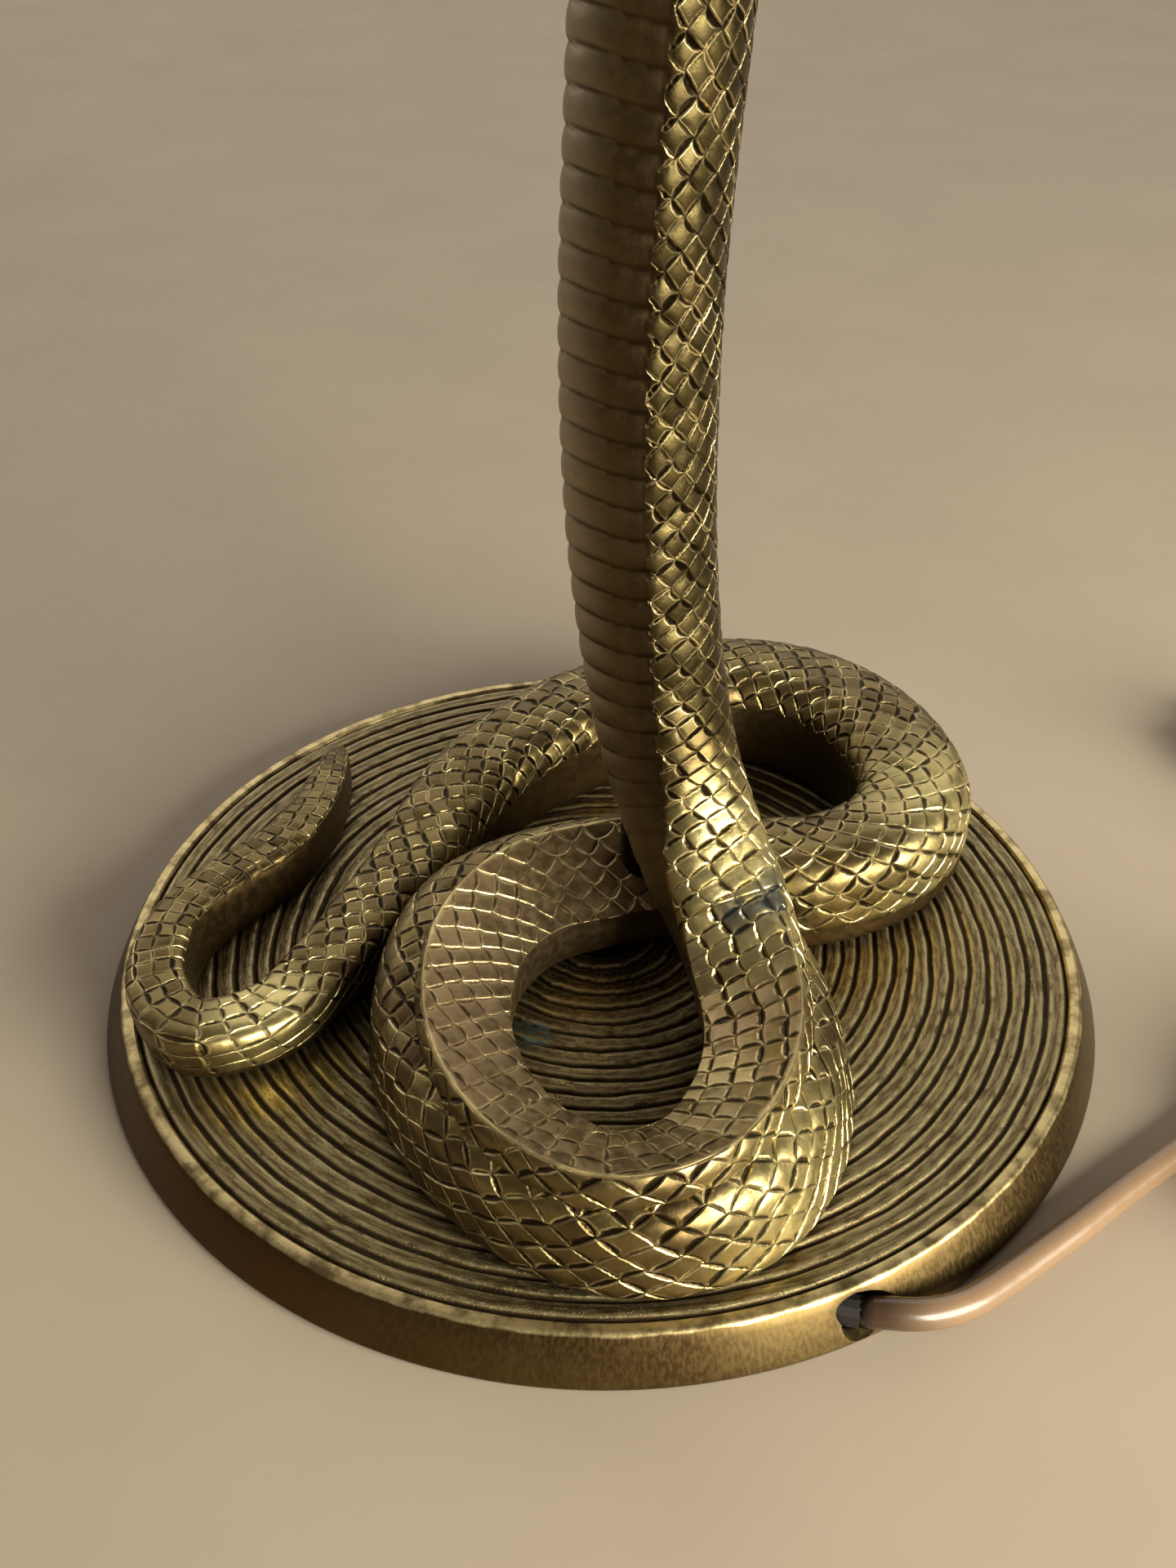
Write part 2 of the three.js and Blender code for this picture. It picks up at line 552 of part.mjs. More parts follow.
// The upper ring has a row of grips round it
function grippedRing(rIn, rOut, grips, zLow, zHigh) {
  const outline = new THREE.Shape();
  for (let i = 0; i < grips * 2; i += 1) {
    const r = rOut - (i % 2) * 0.6;
    const angle = (Math.PI * i) / grips;
    const place = [r * Math.cos(angle), r * Math.sin(angle)];
    if (i === 0) outline.moveTo(...place);
    else outline.lineTo(...place);
  }
  outline.holes.push(new THREE.Path().absarc(0, 0, rIn, 0, Math.PI * 2));
  const options = { depth: zHigh - zLow, bevelEnabled: false, curveSegments: 14 };
  return outward(new THREE.ExtrudeGeometry(outline, options).translate(PIPE_X, PIPE_Y, zLow));
}

const screwRing = grippedRing(HOLDER_R + GAP, SCREW_RING_R, 18, FITTER_Z + FITTER_T + GAP, 480);
add('shade_ring_upper', screwRing, brass);
add('switch_spindle', spindle(SPINDLE_R), steel);
const keyWing = new THREE.BoxGeometry(KEY.width, KEY.depth, KEY.height);
keyWing.translate(...onSpindle(SPINDLE_REACH[1] + 1));
const keyHub = rod(onSpindle(SPINDLE_REACH[1] - 4), onSpindle(SPINDLE_REACH[1] + 3), KEY.hubR);
add('switch_key', cut(join(keyWing, keyHub), spindle(SPINDLE_R + GAP, GAP)), darkPlastic);

// Bulb: the glass is hollow and its neck is open inside the metal cap

add('bulb_glass', onPipe([
  [11, 478], [12, 478], [12, 497], [21, 519], [28, 536], [30, 550], [27.5, 567], [17, 582], [0, 589],
  [0, 588], [16.4, 581.2], [26.6, 566.5], [29, 550], [27.1, 536.2], [20.1, 519.4], [11, 497.3], [11, 478],
]), glass);
add('bulb_cap', onPipe([
  [4, 472.5], [9, 472.5], [13.3, 476], [13.3, 496], [12.4, 496],
  [12.4, 477], [8.6, 474], [4, 474], [4, 472.5],
]), brass);
add('bulb_contact', pipeDisc(3.6, 470.5, 474.5), brass);
add('bulb_stem', onPipe([[0, 480], [9, 480], [5, 492], [2.4, 500], [2.4, 560], [0, 560]], 16), glass);

// Shade: a fitter ring with three arms, two wire rings and the fabric

const SHADE_SEGMENTS = 36;
const shadeSlope = (SHADE_TOP.r - SHADE_BOTTOM.r) / (SHADE_TOP.z - SHADE_BOTTOM.z);
const shadeRadius = (z) => SHADE_BOTTOM.r + (z - SHADE_BOTTOM.z) * shadeSlope;
const wireRadius = (z) => shadeRadius(z) - SHADE_T - SHADE_WIRE_R - 2 * GAP;
const wireZ = { lower: SHADE_BOTTOM.z + SHADE_WIRE_R, upper: SHADE_TOP.z - SHADE_WIRE_R };
const ARM = { r: 1.5, from: FITTER_R + 2 * GAP, to: wireRadius(wireZ.lower) - SHADE_WIRE_R - 2 * GAP };

add('shade_fitter', pipeRing(HOLDER_R + GAP, FITTER_R, FITTER_Z, FITTER_Z + FITTER_T, 28), brass);
for (let i = 0; i < 3; i += 1) {
  const angle = rad(90 + 120 * i);
  const at = (r, z) => [PIPE_X + r * Math.cos(angle), PIPE_Y + r * Math.sin(angle), z];
  const arm = rod(at(ARM.from, FITTER_Z + FITTER_T / 2), at(ARM.to, wireZ.lower), ARM.r, 10);
  add(`shade_arm_${i + 1}`, arm, brass);
}
for (const [name, z] of Object.entries(wireZ)) {
  const circle = Array.from({ length: 7 }, (_, i) => [
    wireRadius(z) + SHADE_WIRE_R * Math.cos(rad(60 * i)),
    z + SHADE_WIRE_R * Math.sin(rad(60 * i)),
  ]);
  add(`shade_wire_${name}`, onPipe(circle, SHADE_SEGMENTS), steel);
}
add('shade_fabric', onPipe([
  [SHADE_BOTTOM.r - SHADE_T, SHADE_BOTTOM.z], [SHADE_BOTTOM.r, SHADE_BOTTOM.z], [SHADE_TOP.r, SHADE_TOP.z],
  [SHADE_TOP.r - SHADE_T, SHADE_TOP.z], [SHADE_BOTTOM.r - SHADE_T, SHADE_BOTTOM.z],
], SHADE_SEGMENTS), linen);

// Cords and leads

function cordTube(points, steps) {
  const section = new THREE.Shape();
  for (let k = 0; k < CORD_SIDES; k += 1) {
    const angle = (2 * Math.PI * k) / CORD_SIDES;
    const place = [CORD_R * Math.cos(angle), CORD_R * Math.sin(angle)];
    if (k === 0) section.moveTo(...place);
    else section.lineTo(...place);
  }
  const path = new THREE.CatmullRomCurve3(points.map((p) => new THREE.Vector3(...p)), false, 'centripetal');
  return outward(new THREE.ExtrudeGeometry(section, { steps, extrudePath: path, bevelEnabled: false }));
}

// A tube with a section square to the path at every point that is given
function tubeThrough(points, r, sides) {
  const centres = points.map((p) => new THREE.Vector3(...p));
  const last = centres.length - 1;
  const alongs = centres.map((_, i) => {
    const before = centres[Math.max(i - 1, 0)];
    return centres[Math.min(i + 1, last)].clone().sub(before).normalize();
  });
  const side = new THREE.Vector3().crossVectors(alongs[0], UP);
  const circle = (_, angle) => [r * Math.cos(angle), r * Math.sin(angle)];
  return sweep(framed(centres, alongs, side), sides, circle);
}

// Two leads run from the cord's end to the foot of the pipe and up its bore to the lampholder
const CORD_INNER_END = -42;
const INNER_LEAD = { r: 0.8, apart: 2.4, lowZ: 2.7, topZ: 456 };

function innerLead(sideSign) {
  const aside = (sideSign * INNER_LEAD.apart) / 2;
  const x = PIPE_X + aside;
  const low = INNER_LEAD.lowZ;
  return tubeThrough([
    [...alongHole(CORD_INNER_END - 0.5, aside), CORD_HOLE.z], [...alongHole(CORD_INNER_END - 5, aside), 4.4],
    [-2.5 + aside, -80, 3.6], [-3.5 + aside, -72, 3], [0.5 + aside, -58, low], [x, -36, low],
    [x, PIPE_Y - 5, low], [x, PIPE_Y - 2.6, low + 0.1], [x, PIPE_Y - 0.8, 3.6], [x, PIPE_Y - 0.1, 5.4],
    [x, PIPE_Y, 8], [x, PIPE_Y, INNER_LEAD.topZ],
  ], INNER_LEAD.r, 6);
}

add('lead_live', innerLead(1), darkPlastic);
add('lead_neutral', innerLead(-1), ceramic);
add('cord_inner', rod(cordPoint(CORD_INNER_END), cordPoint(-GAP / 2), CORD_R, 12), beige);

// Spare cord: two layers of turns, wound in and out again, with straight ends

const COIL_STEPS = 16;
const COIL_SIDES = 6;
const coilStart = rad(COIL.start);
const heading = new THREE.Vector3(Math.sin(coilStart), -Math.cos(coilStart), 0);

function coilPoint(step) {
  const turned = (2 * Math.PI * step) / COIL_STEPS;
  const half = 2 * Math.PI * COIL.turns;
  const inward = Math.min(turned, 2 * half - turned);
  const r = COIL.outer - (COIL.pitch * inward) / (2 * Math.PI);
  const climbed = THREE.MathUtils.smoothstep(turned, half - Math.PI / 2, half + Math.PI / 2);
  const angle = coilStart - turned;
  const place = [COIL.x + r * Math.cos(angle), COIL.y + r * Math.sin(angle), COIL.z + COIL.rise * climbed];
  return new THREE.Vector3(...place);
}

const turns = Array.from({ length: 2 * COIL.turns * COIL_STEPS + 1 }, (_, step) => coilPoint(step));
const coilBegin = turns[0].clone().addScaledVector(heading, -2 * CORD_R);
const coilEnd = turns.at(-1).clone().addScaledVector(heading, 2 * CORD_R);
const leadEnd = coilBegin.clone().addScaledVector(heading, -GAP);
const tailStart = coilEnd.clone().addScaledVector(heading, GAP);

function leastGap(points) {
  let least = Infinity;
  points.forEach((a, i) => {
    points.slice(i + COIL_STEPS / 2).forEach((b) => { least = Math.min(least, a.distanceTo(b)); });
  });
  return least * Math.cos(Math.PI / COIL_STEPS) - 2 * CORD_R;
}

console.log(`cord_coil: least gap between its turns ${leastGap(turns).toFixed(2)} mm`);
add('cord_lead', cordTube([cordPoint(GAP / 2), ...LEAD_ROUTE, [...leadEnd]], 16), beige);
add('cord_coil', tubeThrough([coilBegin, ...turns, coilEnd], CORD_R, COIL_SIDES), beige);
const tailEnd = [PLUG.x, PLUG.reliefY - GAP, PLUG.height / 2];
add('cord_tail', cordTube([[...tailStart], ...COIL_TAIL_ROUTE, tailEnd], 9), beige);

// A strap round all the turns at one place
const TIE = { angle: 80, width: 7, t: 0.6, rIn: 19.9, rOut: 50, zTop: 14.7 };

function tieStrap() {
  const frame = (grow) => [
    [TIE.rIn + grow, grow], [TIE.rOut - grow, grow],
    [TIE.rOut - grow, TIE.zTop - grow], [TIE.rIn + grow, TIE.zTop - grow],
  ].map(([x, y]) => new THREE.Vector2(x, y));
  const outline = new THREE.Shape(frame(0));
  outline.holes.push(new THREE.Path(frame(TIE.t)));
  const strap = new THREE.ExtrudeGeometry(outline, { depth: TIE.width, bevelEnabled: false });
  strap.translate(0, 0, -TIE.width / 2).rotateX(Math.PI / 2).rotateZ(rad(TIE.angle));
  return outward(strap.translate(COIL.x, COIL.y, 0));
}

add('cord_tie', tieStrap(), darkPlastic);

// Plug: a flat moulded body that lies on the table, a tapered relief and two round pins

const pinX = (sideSign) => PLUG.x + (sideSign * PIN.apart) / 2;
const plugEnd = PLUG.bodyY + PLUG.length;

function pinRod(sideSign, grow) {
  const y = plugEnd - PIN.inBody - grow;
  const x = pinX(sideSign);
  const z = PLUG.height / 2;
  return rod([x, y, z], [x, plugEnd + PIN.length, z], PIN.r + grow);
}

function plugBody() {
  const half = PLUG.width / 2;
  const outline = new THREE.Shape([
    [-7.5, 0], [7.5, 0], [half - 4, 8], [half, 17], [half, PLUG.length], [-half, PLUG.length], [-half, 17],
    [4 - half, 8],
  ].map(([x, y]) => new THREE.Vector2(x, y)));
  const body = new THREE.ExtrudeGeometry(outline, { depth: PLUG.height, bevelEnabled: false });
  return cut(body.translate(PLUG.x, PLUG.bodyY, 0), pinRod(-1, GAP), pinRod(1, GAP));
}

add('plug_body', plugBody(), beige);
const relief = new THREE.CylinderGeometry(5.6, 3.6, PLUG.bodyY - PLUG.reliefY - GAP, 16);
relief.translate(PLUG.x, (PLUG.reliefY + PLUG.bodyY - GAP) / 2, PLUG.height / 2);
add('plug_relief', outward(relief), beige);
add('plug_pin_1', outward(pinRod(-1, 0)), brass);
add('plug_pin_2', outward(pinRod(1, 0)), brass);

export default group;
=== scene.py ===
# %% [markdown]
# # A bronze cobra table lamp
# The lamp is a cast bronze snake that lies in loops on a round base and rises to carry a lampholder and a
# linen shade. The construction comes ready as a frame of solids in metres. Here it gets its looks: cut
# scales, turned rings, brushed walls, cord, cloth, brass and glass.

import bpy
import numpy as np
from mathutils import Matrix, Vector


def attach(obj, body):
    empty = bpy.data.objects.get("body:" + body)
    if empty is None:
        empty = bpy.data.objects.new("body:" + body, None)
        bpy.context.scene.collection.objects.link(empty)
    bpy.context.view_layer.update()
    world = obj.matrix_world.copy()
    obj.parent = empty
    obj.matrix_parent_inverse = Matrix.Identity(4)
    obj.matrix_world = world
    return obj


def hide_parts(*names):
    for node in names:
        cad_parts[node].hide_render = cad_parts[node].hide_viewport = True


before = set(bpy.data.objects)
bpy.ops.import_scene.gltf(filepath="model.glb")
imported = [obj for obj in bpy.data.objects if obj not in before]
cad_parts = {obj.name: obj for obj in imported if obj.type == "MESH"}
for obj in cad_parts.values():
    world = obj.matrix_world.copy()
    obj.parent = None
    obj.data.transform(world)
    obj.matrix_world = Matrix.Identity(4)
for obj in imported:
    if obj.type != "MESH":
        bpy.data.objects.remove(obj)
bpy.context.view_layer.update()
MM = 0.001

# %% [markdown]
# The camera stands close in front of the lamp, a little above it, and looks down. It was worked out
# from the oval of the base and from the base's size, so it is written as a place, three turns and a
# focal length. The shift is only what is left over between the lens's axis and the picture's middle.

# %% Camera
PHOTO_WIDTH, PHOTO_HEIGHT = 1440, 1920
FOCAL_PX = 1977.7
AXIS_PX = (746.9, 956.6)
CAMERA_AT = Vector((0, -0.27399, 0.25347))
YAW, PITCH, ROLL = 0.004, 0.634, 0.015
SENSOR = 36.0

camera_data = bpy.data.cameras.new("camera")
camera = bpy.data.objects.new("camera", camera_data)
bpy.context.scene.collection.objects.link(camera)
bpy.context.scene.camera = camera
forward = Vector((np.sin(YAW) * np.cos(PITCH), np.cos(YAW) * np.cos(PITCH), -np.sin(PITCH)))
level = Vector((np.cos(YAW), -np.sin(YAW), 0))
right = level * np.cos(ROLL) + level.cross(forward) * np.sin(ROLL)
upward = right.cross(forward)
turn = Matrix((right, upward, -forward)).transposed()
camera.matrix_world = Matrix.Translation(CAMERA_AT) @ turn.to_4x4()
camera_data.sensor_width = SENSOR
camera_data.lens = SENSOR * FOCAL_PX / PHOTO_HEIGHT
camera_data.shift_x = (PHOTO_WIDTH / 2 - AXIS_PX[0]) / PHOTO_HEIGHT
camera_data.shift_y = (AXIS_PX[1] - PHOTO_HEIGHT / 2) / PHOTO_HEIGHT
camera_data.clip_start = 0.01
print("lens", round(camera_data.lens, 2), "mm")

# %% [markdown]
# Most of the lamp is swept: a section carried along a curved path. The path goes through a few points
# as a centripetal Catmull-Rom curve, which doesn't overshoot, and is then sampled at even steps.


# %% Paths
DENSE_STEPS = 60


def curve_through(points, spacing):
    """Even places on a smooth curve through points, with the fraction of the way in whole points.

    Between two points the curve is the cubic with the slopes that a centripetal Catmull-Rom curve has:
    each slope weighs its two neighbours by the square root of their distance."""
    p = np.concatenate([[2 * points[0] - points[1]], points, [2 * points[-1] - points[-2]]])
    gap = np.linalg.norm(np.diff(p, axis=0), axis=1)[:, None] ** 0.5
    d0, d1, d2 = gap[:-2], gap[1:-1], gap[2:]
    p0, p1, p2, p3 = p[:-3], p[1:-2], p[2:-1], p[3:]
    slope1 = d1 * ((p1 - p0) / d0 - (p2 - p0) / (d0 + d1) + (p2 - p1) / d1)
    slope2 = d1 * ((p2 - p1) / d1 - (p3 - p1) / (d1 + d2) + (p3 - p2) / d2)
    t = np.linspace(0, 1, DENSE_STEPS, endpoint=False)[None, :, None]
    p1, p2, slope1, slope2 = (v[:, None, :] for v in (p1, p2, slope1, slope2))
    bend = (2 * p1 - 2 * p2 + slope1 + slope2) * t**3 + (3 * p2 - 3 * p1 - 2 * slope1 - slope2) * t**2
    dense = (bend + slope1 * t + p1).reshape(-1, 3)
    dense = np.concatenate([dense, points[-1:]])
    knots = np.append(np.arange(len(dense) - 1) / DENSE_STEPS, len(points) - 1)
    run = np.append(0, np.cumsum(np.linalg.norm(np.diff(dense, axis=0), axis=1)))
    at = np.linspace(0, run[-1], int(round(run[-1] / spacing)) + 1)
    places = np.stack([np.interp(at, run, dense[:, k]) for k in range(3)], axis=1)
    return places, at, np.interp(at, run, knots)


def unit(vectors):
    """Vectors brought to length one."""
    return vectors / np.linalg.norm(vectors, axis=-1, keepdims=True)


def carried_sides(alongs, first_side):
    """A side vector carried along a path without twist: at each step it loses its part along the path."""
    sides = [first_side]
    for along in alongs:
        side = sides[-1] - along * np.dot(sides[-1], along)
        sides.append(side / np.linalg.norm(side))
    return np.array(sides[1:])


def soften(values, reach):
    """A running mean over reach samples either side, so that sizes change without a kink."""
    window = np.hanning(2 * reach + 3)[1:-1]
    padded = np.pad(values, reach, mode="edge")
    return np.convolve(padded, window / window.sum(), mode="valid")


def smooth_step(low, high, x):
    """Rises from 0 at low to 1 at high, with a level start and end."""
    t = np.clip((x - low) / (high - low), 0, 1)
    return t * t * (3 - 2 * t)


def bell(x, width):
    """1 at zero, falling off smoothly over a width."""
    return np.exp(-((x / width) ** 2))


# %% [markdown]
# Every new piece is a grid of points, with rows along it and columns round it. One function turns such a
# grid into a mesh and turns it the right way out. A body with two ends gets a fan of triangles in each
# end, and a ring, whose last row meets its first, needs none.


# %% Meshes
TINY = 1e-12


def skin(name, points, uv=None, layers=None, ring=False):
    """A closed mesh over a grid of points that wraps round, with faces that look outwards.

    The signed volume, a sum of triple products over the triangles, tells whether the grid came inside
    out. uv has one column more than the grid, and layers holds one value for each point."""
    rows, cols = points.shape[:2]
    last = rows if ring else rows - 1
    i, j = np.divmod(np.arange(last * cols), cols)
    below, wrap = (i + 1) % rows, (j + 1) % cols
    quads = np.stack([i * cols + j, below * cols + j, below * cols + wrap, i * cols + wrap], axis=1)
    vertices = points.reshape(-1, 3)
    caps = np.empty((0, 3), dtype=int)
    if not ring:
        vertices = np.concatenate([vertices, points[:1].mean(axis=1), points[-1:].mean(axis=1)])
        k = np.arange(cols)
        after, base = (k + 1) % cols, (rows - 1) * cols
        caps = np.concatenate([
            np.stack([np.full(cols, rows * cols), k, after], axis=1),
            np.stack([np.full(cols, rows * cols + 1), base + after, base + k], axis=1),
        ])
    triangles = np.concatenate([quads[:, [0, 1, 2]], quads[:, [0, 2, 3]], caps])
    a, b, c = (vertices[triangles[:, k]] for k in range(3))
    inside_out = np.einsum("ij,ij->", a, np.cross(b, c)) < 0
    if inside_out:
        quads, caps = quads[:, ::-1], caps[:, ::-1]

    mesh = bpy.data.meshes.new(name)
    corners = np.concatenate([quads.ravel(), caps.ravel()]).astype(np.int32)
    starts = np.concatenate([np.arange(len(quads)) * 4, 4 * len(quads) + np.arange(len(caps)) * 3])
    mesh.vertices.add(len(vertices))
    mesh.vertices.foreach_set("co", vertices.astype(np.float32).ravel())
    mesh.loops.add(len(corners))
    mesh.loops.foreach_set("vertex_index", corners)
    mesh.polygons.add(len(starts))
    mesh.polygons.foreach_set("loop_start", starts.astype(np.int32))
    mesh.polygons.foreach_set("use_smooth", np.ones(len(starts), dtype=bool))
    mesh.update(calc_edges=True)
    if uv is not None:
        full = np.concatenate([uv, uv[-1:]]) if len(uv) == rows else uv
        quad_uv = np.stack([full[i, j], full[i + 1, j], full[i + 1, j + 1], full[i, j + 1]], axis=1)
        k = np.arange(cols if len(caps) else 0)
        cap_uv = np.concatenate([
            np.stack([uv[0, k], uv[0, k], uv[0, k + 1]], axis=1),
            np.stack([uv[-1, k], uv[-1, k + 1], uv[-1, k]], axis=1),
        ])
        if inside_out:
            quad_uv, cap_uv = quad_uv[:, ::-1], cap_uv[:, ::-1]
        flat = np.concatenate([quad_uv.reshape(-1, 2), cap_uv.reshape(-1, 2)]).astype(np.float32)
        mesh.uv_layers.new(name="pattern").data.foreach_set("uv", flat.ravel())
    for layer, values in (layers or {}).items():
        ends = [] if ring else [values[0].mean(), values[-1].mean()]
        data = np.append(values.ravel(), ends).astype(np.float32)
        mesh.attributes.new(layer, "FLOAT", "POINT").data.foreach_set("value", data)
    piece = bpy.data.objects.new(name, mesh)
    bpy.context.scene.collection.objects.link(piece)
    print(name, len(quads) * 2 + len(caps), "triangles")
    return piece


def outward_normals(points):
    """Unit normals of a grid that wraps round: the row direction crossed with the column direction."""
    along = np.gradient(points, axis=0)
    around = np.roll(points, -1, axis=1) - np.roll(points, 1, axis=1)
    return unit(np.cross(along, around) + TINY)


def stands(piece, body, slot, *nodes):
    """Hangs a piece on the body it moves with and hides the solids it stands for. The slot is not used."""
    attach(piece, body)
    if nodes:
        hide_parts(*nodes)
    return piece


# %% [markdown]
# Turned parts are profiles of radius and height. Their corners are eased first, because no real edge is
# sharp: each corner becomes a short curve that starts and ends a little way along its two sides. A
# ripple moves the radius by angle, for grips and threads. Everything above the snake is turned on the
# axis of the pipe.


# %% Turning
PIPE_AT = np.array([0.0085, 0.001, 0])
CORNER_SHARE = 0.45
CREASE = np.radians(50)


def eased(profile, reach, ring=False):
    """Each corner becomes three points of the curve between its two sides, reach away from the corner,
    or a little less than half a side away where the side is short."""
    p = np.array(profile, dtype=float)

    def moved_to(neighbour):
        """Every corner moved along its side to a neighbour: by the reach, or by a share of the side."""
        side = neighbour - p
        length = np.maximum(np.linalg.norm(side, axis=1, keepdims=True), TINY)
        return p + side * np.minimum(reach / length, CORNER_SHARE)

    enter, leave = moved_to(np.roll(p, 1, axis=0)), moved_to(np.roll(p, -1, axis=0))
    curve = np.stack([enter, enter / 4 + p / 2 + leave / 4, leave], axis=1)
    if not ring:
        curve[0], curve[-1] = p[0], p[-1]
    return curve.reshape(-1, 2)


def turned(name, profile, columns=96, centre=PIPE_AT, ring=False, ripple=None):
    """A shape turned on a lathe: x and y are the radius times the cosine and sine, z is the height."""
    profile = np.array(profile, dtype=float)
    angle = np.linspace(0, 2 * np.pi, columns, endpoint=False)[None, :]
    radius, height = profile[:, :1] + 0 * angle, profile[:, 1:] + 0 * angle
    if ripple is not None:
        radius = radius + ripple(radius, height, angle)
    x, y = centre[0] + radius * np.cos(angle), centre[1] + radius * np.sin(angle)
    piece = skin(name, np.stack([x, y, height], axis=2), ring=ring)
    piece.data.set_sharp_from_angle(angle=CREASE)
    return piece


def tube(name, centres, radius, sides, first_side=(0, 0, 1)):
    """A round tube: circles square to the path at every centre. The radius may change along it."""
    alongs = unit(np.gradient(centres, axis=0))
    side = carried_sides(alongs, np.array(first_side, dtype=float))
    up = np.cross(side, alongs)
    angle = np.linspace(0, 2 * np.pi, sides, endpoint=False)[None, :, None]
    reach = np.broadcast_to(radius, len(centres))[:, None, None]
    circles = side[:, None] * np.cos(angle) + up[:, None] * np.sin(angle)
    return skin(name, centres[:, None] + reach * circles)


# %% [markdown]
# The cord leaves the base through a hole in its wall and runs off over the table. The rest of it, which
# can't be seen, is wound into a neat coil just outside the view. Its route is a list of places, and the
# coil is a spiral that winds in, climbs one layer and winds out again.

# %% Cord
CORD_RADIUS = 0.003
CORD_SIDES, CORD_STEP, COIL_STATIONS = 20, 0.0025, 24
HOLE_AT = np.array([0.0475, -0.096, 0.0047])
HOLE_TURN = np.radians(-12)
LEAD_ROUTE = np.array([
    [0.0519, -0.0967, 0.0055], [0.0565, -0.0969, 0.0054], [0.0622, -0.0958, 0.0048],
    [0.0675, -0.0934, 0.0041], [0.0718, -0.0904, 0.0036], [0.0775, -0.0861, 0.0032],
    [0.0843, -0.0809, 0.00305], [0.0913, -0.0756, 0.00305], [0.099, -0.0694, 0.00305],
    [0.107, -0.0632, 0.00305], [0.1153, -0.057, 0.0031], [0.124, -0.0502, 0.0032], [0.1352, -0.0418, 0.0037],
])
COIL_AT = np.array([0.178, -0.068, 0.0039])
COIL_START = np.radians(125)
COIL_TURNS, COIL_PITCH, COIL_RISE, COIL_OUTER = 3.5, 0.0066, 0.0066, 0.046
CORD_TAIL_ROUTE = np.array([
    [0.1616, -0.0233, 0.0104], [0.168, -0.0184, 0.0082], [0.173, -0.0126, 0.0052], [0.177, -0.0058, 0.0035],
    [0.1798, 0.0016, 0.00305], [0.1812, 0.0085, 0.0037], [0.1817, 0.0155, 0.0055], [0.1818, 0.0225, 0.00675],
])
PLUG_X, PLUG_Z = 0.1818, 0.00685
CORD_END = np.array([PLUG_X, 0.029, PLUG_Z])


def coil_places(per_turn):
    """A flat spiral: the radius falls steadily to half way and grows back, one layer higher."""
    turned_by = np.linspace(0, 4 * np.pi * COIL_TURNS, int(2 * COIL_TURNS * per_turn) + 1)
    half = 2 * np.pi * COIL_TURNS
    inward = np.minimum(turned_by, 2 * half - turned_by)
    radius = COIL_OUTER - COIL_PITCH * inward / (2 * np.pi)
    climbed = smooth_step(half - np.pi / 2, half + np.pi / 2, turned_by)
    angle = COIL_START - turned_by
    offset = np.stack([radius * np.cos(angle), radius * np.sin(angle), COIL_RISE * climbed], axis=1)
    return COIL_AT + offset


coil_route = coil_places(COIL_STATIONS)
cord_route = np.concatenate([[HOLE_AT], LEAD_ROUTE, coil_route, CORD_TAIL_ROUTE, [CORD_END]])
cord_path, cord_run, _ = curve_through(cord_route, CORD_STEP)
cord = tube("mains_cord", cord_path, CORD_RADIUS, CORD_SIDES)
stands(cord, "stand", "cord_sheath", "cord_lead", "cord_coil", "cord_tail")
print("cord length", round(float(cord_run[-1]), 3), "m")

# %% [markdown]
# The cord ends in a flat moulded plug with two round pins. The relief between them is a tapered sleeve with
# ribs, so that it bends evenly. Each of these is a section carried along the plug's own axis, and the
# body's section is flat below, because it lies on the table.

# %% Plug
RELIEF_Y, RELIEF_RADIUS, RELIEF_GROWTH = 0.0293, 0.0032, 0.0018
RIBS, RIB_HEIGHT = 8, 0.00045
PLUG_BODY_Y, PLUG_LENGTH = 0.052, 0.035
PLUG_NECK, PLUG_SPREAD, FINGER_GROOVE = 0.0075, 0.0102, 0.0006
PIN_APART, PIN_LENGTH, PIN_RADIUS = 0.0186, 0.019, 0.002
PIN_SUNK, SLEEVE_STEP = 0.0005, 0.00012


def along_y(name, y, half_width, half_height, power, sides=64, x=PLUG_X):
    """A superellipse carried along y: the radius is (|cos|^n + |sin|^n) to the power -1/n, then stretched."""
    angle = np.linspace(0, 2 * np.pi, sides, endpoint=False)[None, :]
    round_by = (np.abs(np.cos(angle)) ** power + np.abs(np.sin(angle)) ** power) ** (-1 / power)
    across = x + half_width[:, None] * round_by * np.cos(angle)
    height = PLUG_Z + half_height[:, None] * round_by * np.sin(angle)
    return skin(name, np.stack([across, y[:, None] + 0 * across, height], axis=2))


def plug_pieces():
    """The body widens from the relief and has five finger grooves; the relief has eight ribs."""
    t = np.linspace(0, 1, 90)
    ends = np.sqrt(np.clip(1 - (np.abs(t - 0.5) * 2) ** 24, 0, 1)) * 0.16 + 0.84
    grooves = FINGER_GROOVE * bell(np.sin(np.pi * (t - 0.5) * 14), 0.35) * bell(t - 0.45, 0.16)
    width = (PLUG_NECK + PLUG_SPREAD * smooth_step(0, 0.52, t)) * ends - grooves
    body = along_y("plug_body_moulded", PLUG_BODY_Y + PLUG_LENGTH * t, width, PLUG_Z * ends, 4.5)
    ribs = RIB_HEIGHT * smooth_step(-0.2, 0.4, np.sin(2 * np.pi * RIBS * t)) * smooth_step(0.02, 0.1, t)
    taper = RELIEF_RADIUS + RELIEF_GROWTH * t + ribs
    relief_y = RELIEF_Y + (PLUG_BODY_Y - RELIEF_Y) * t
    relief = along_y("plug_relief_ribbed", relief_y, taper, taper, 2.0)
    return body, relief


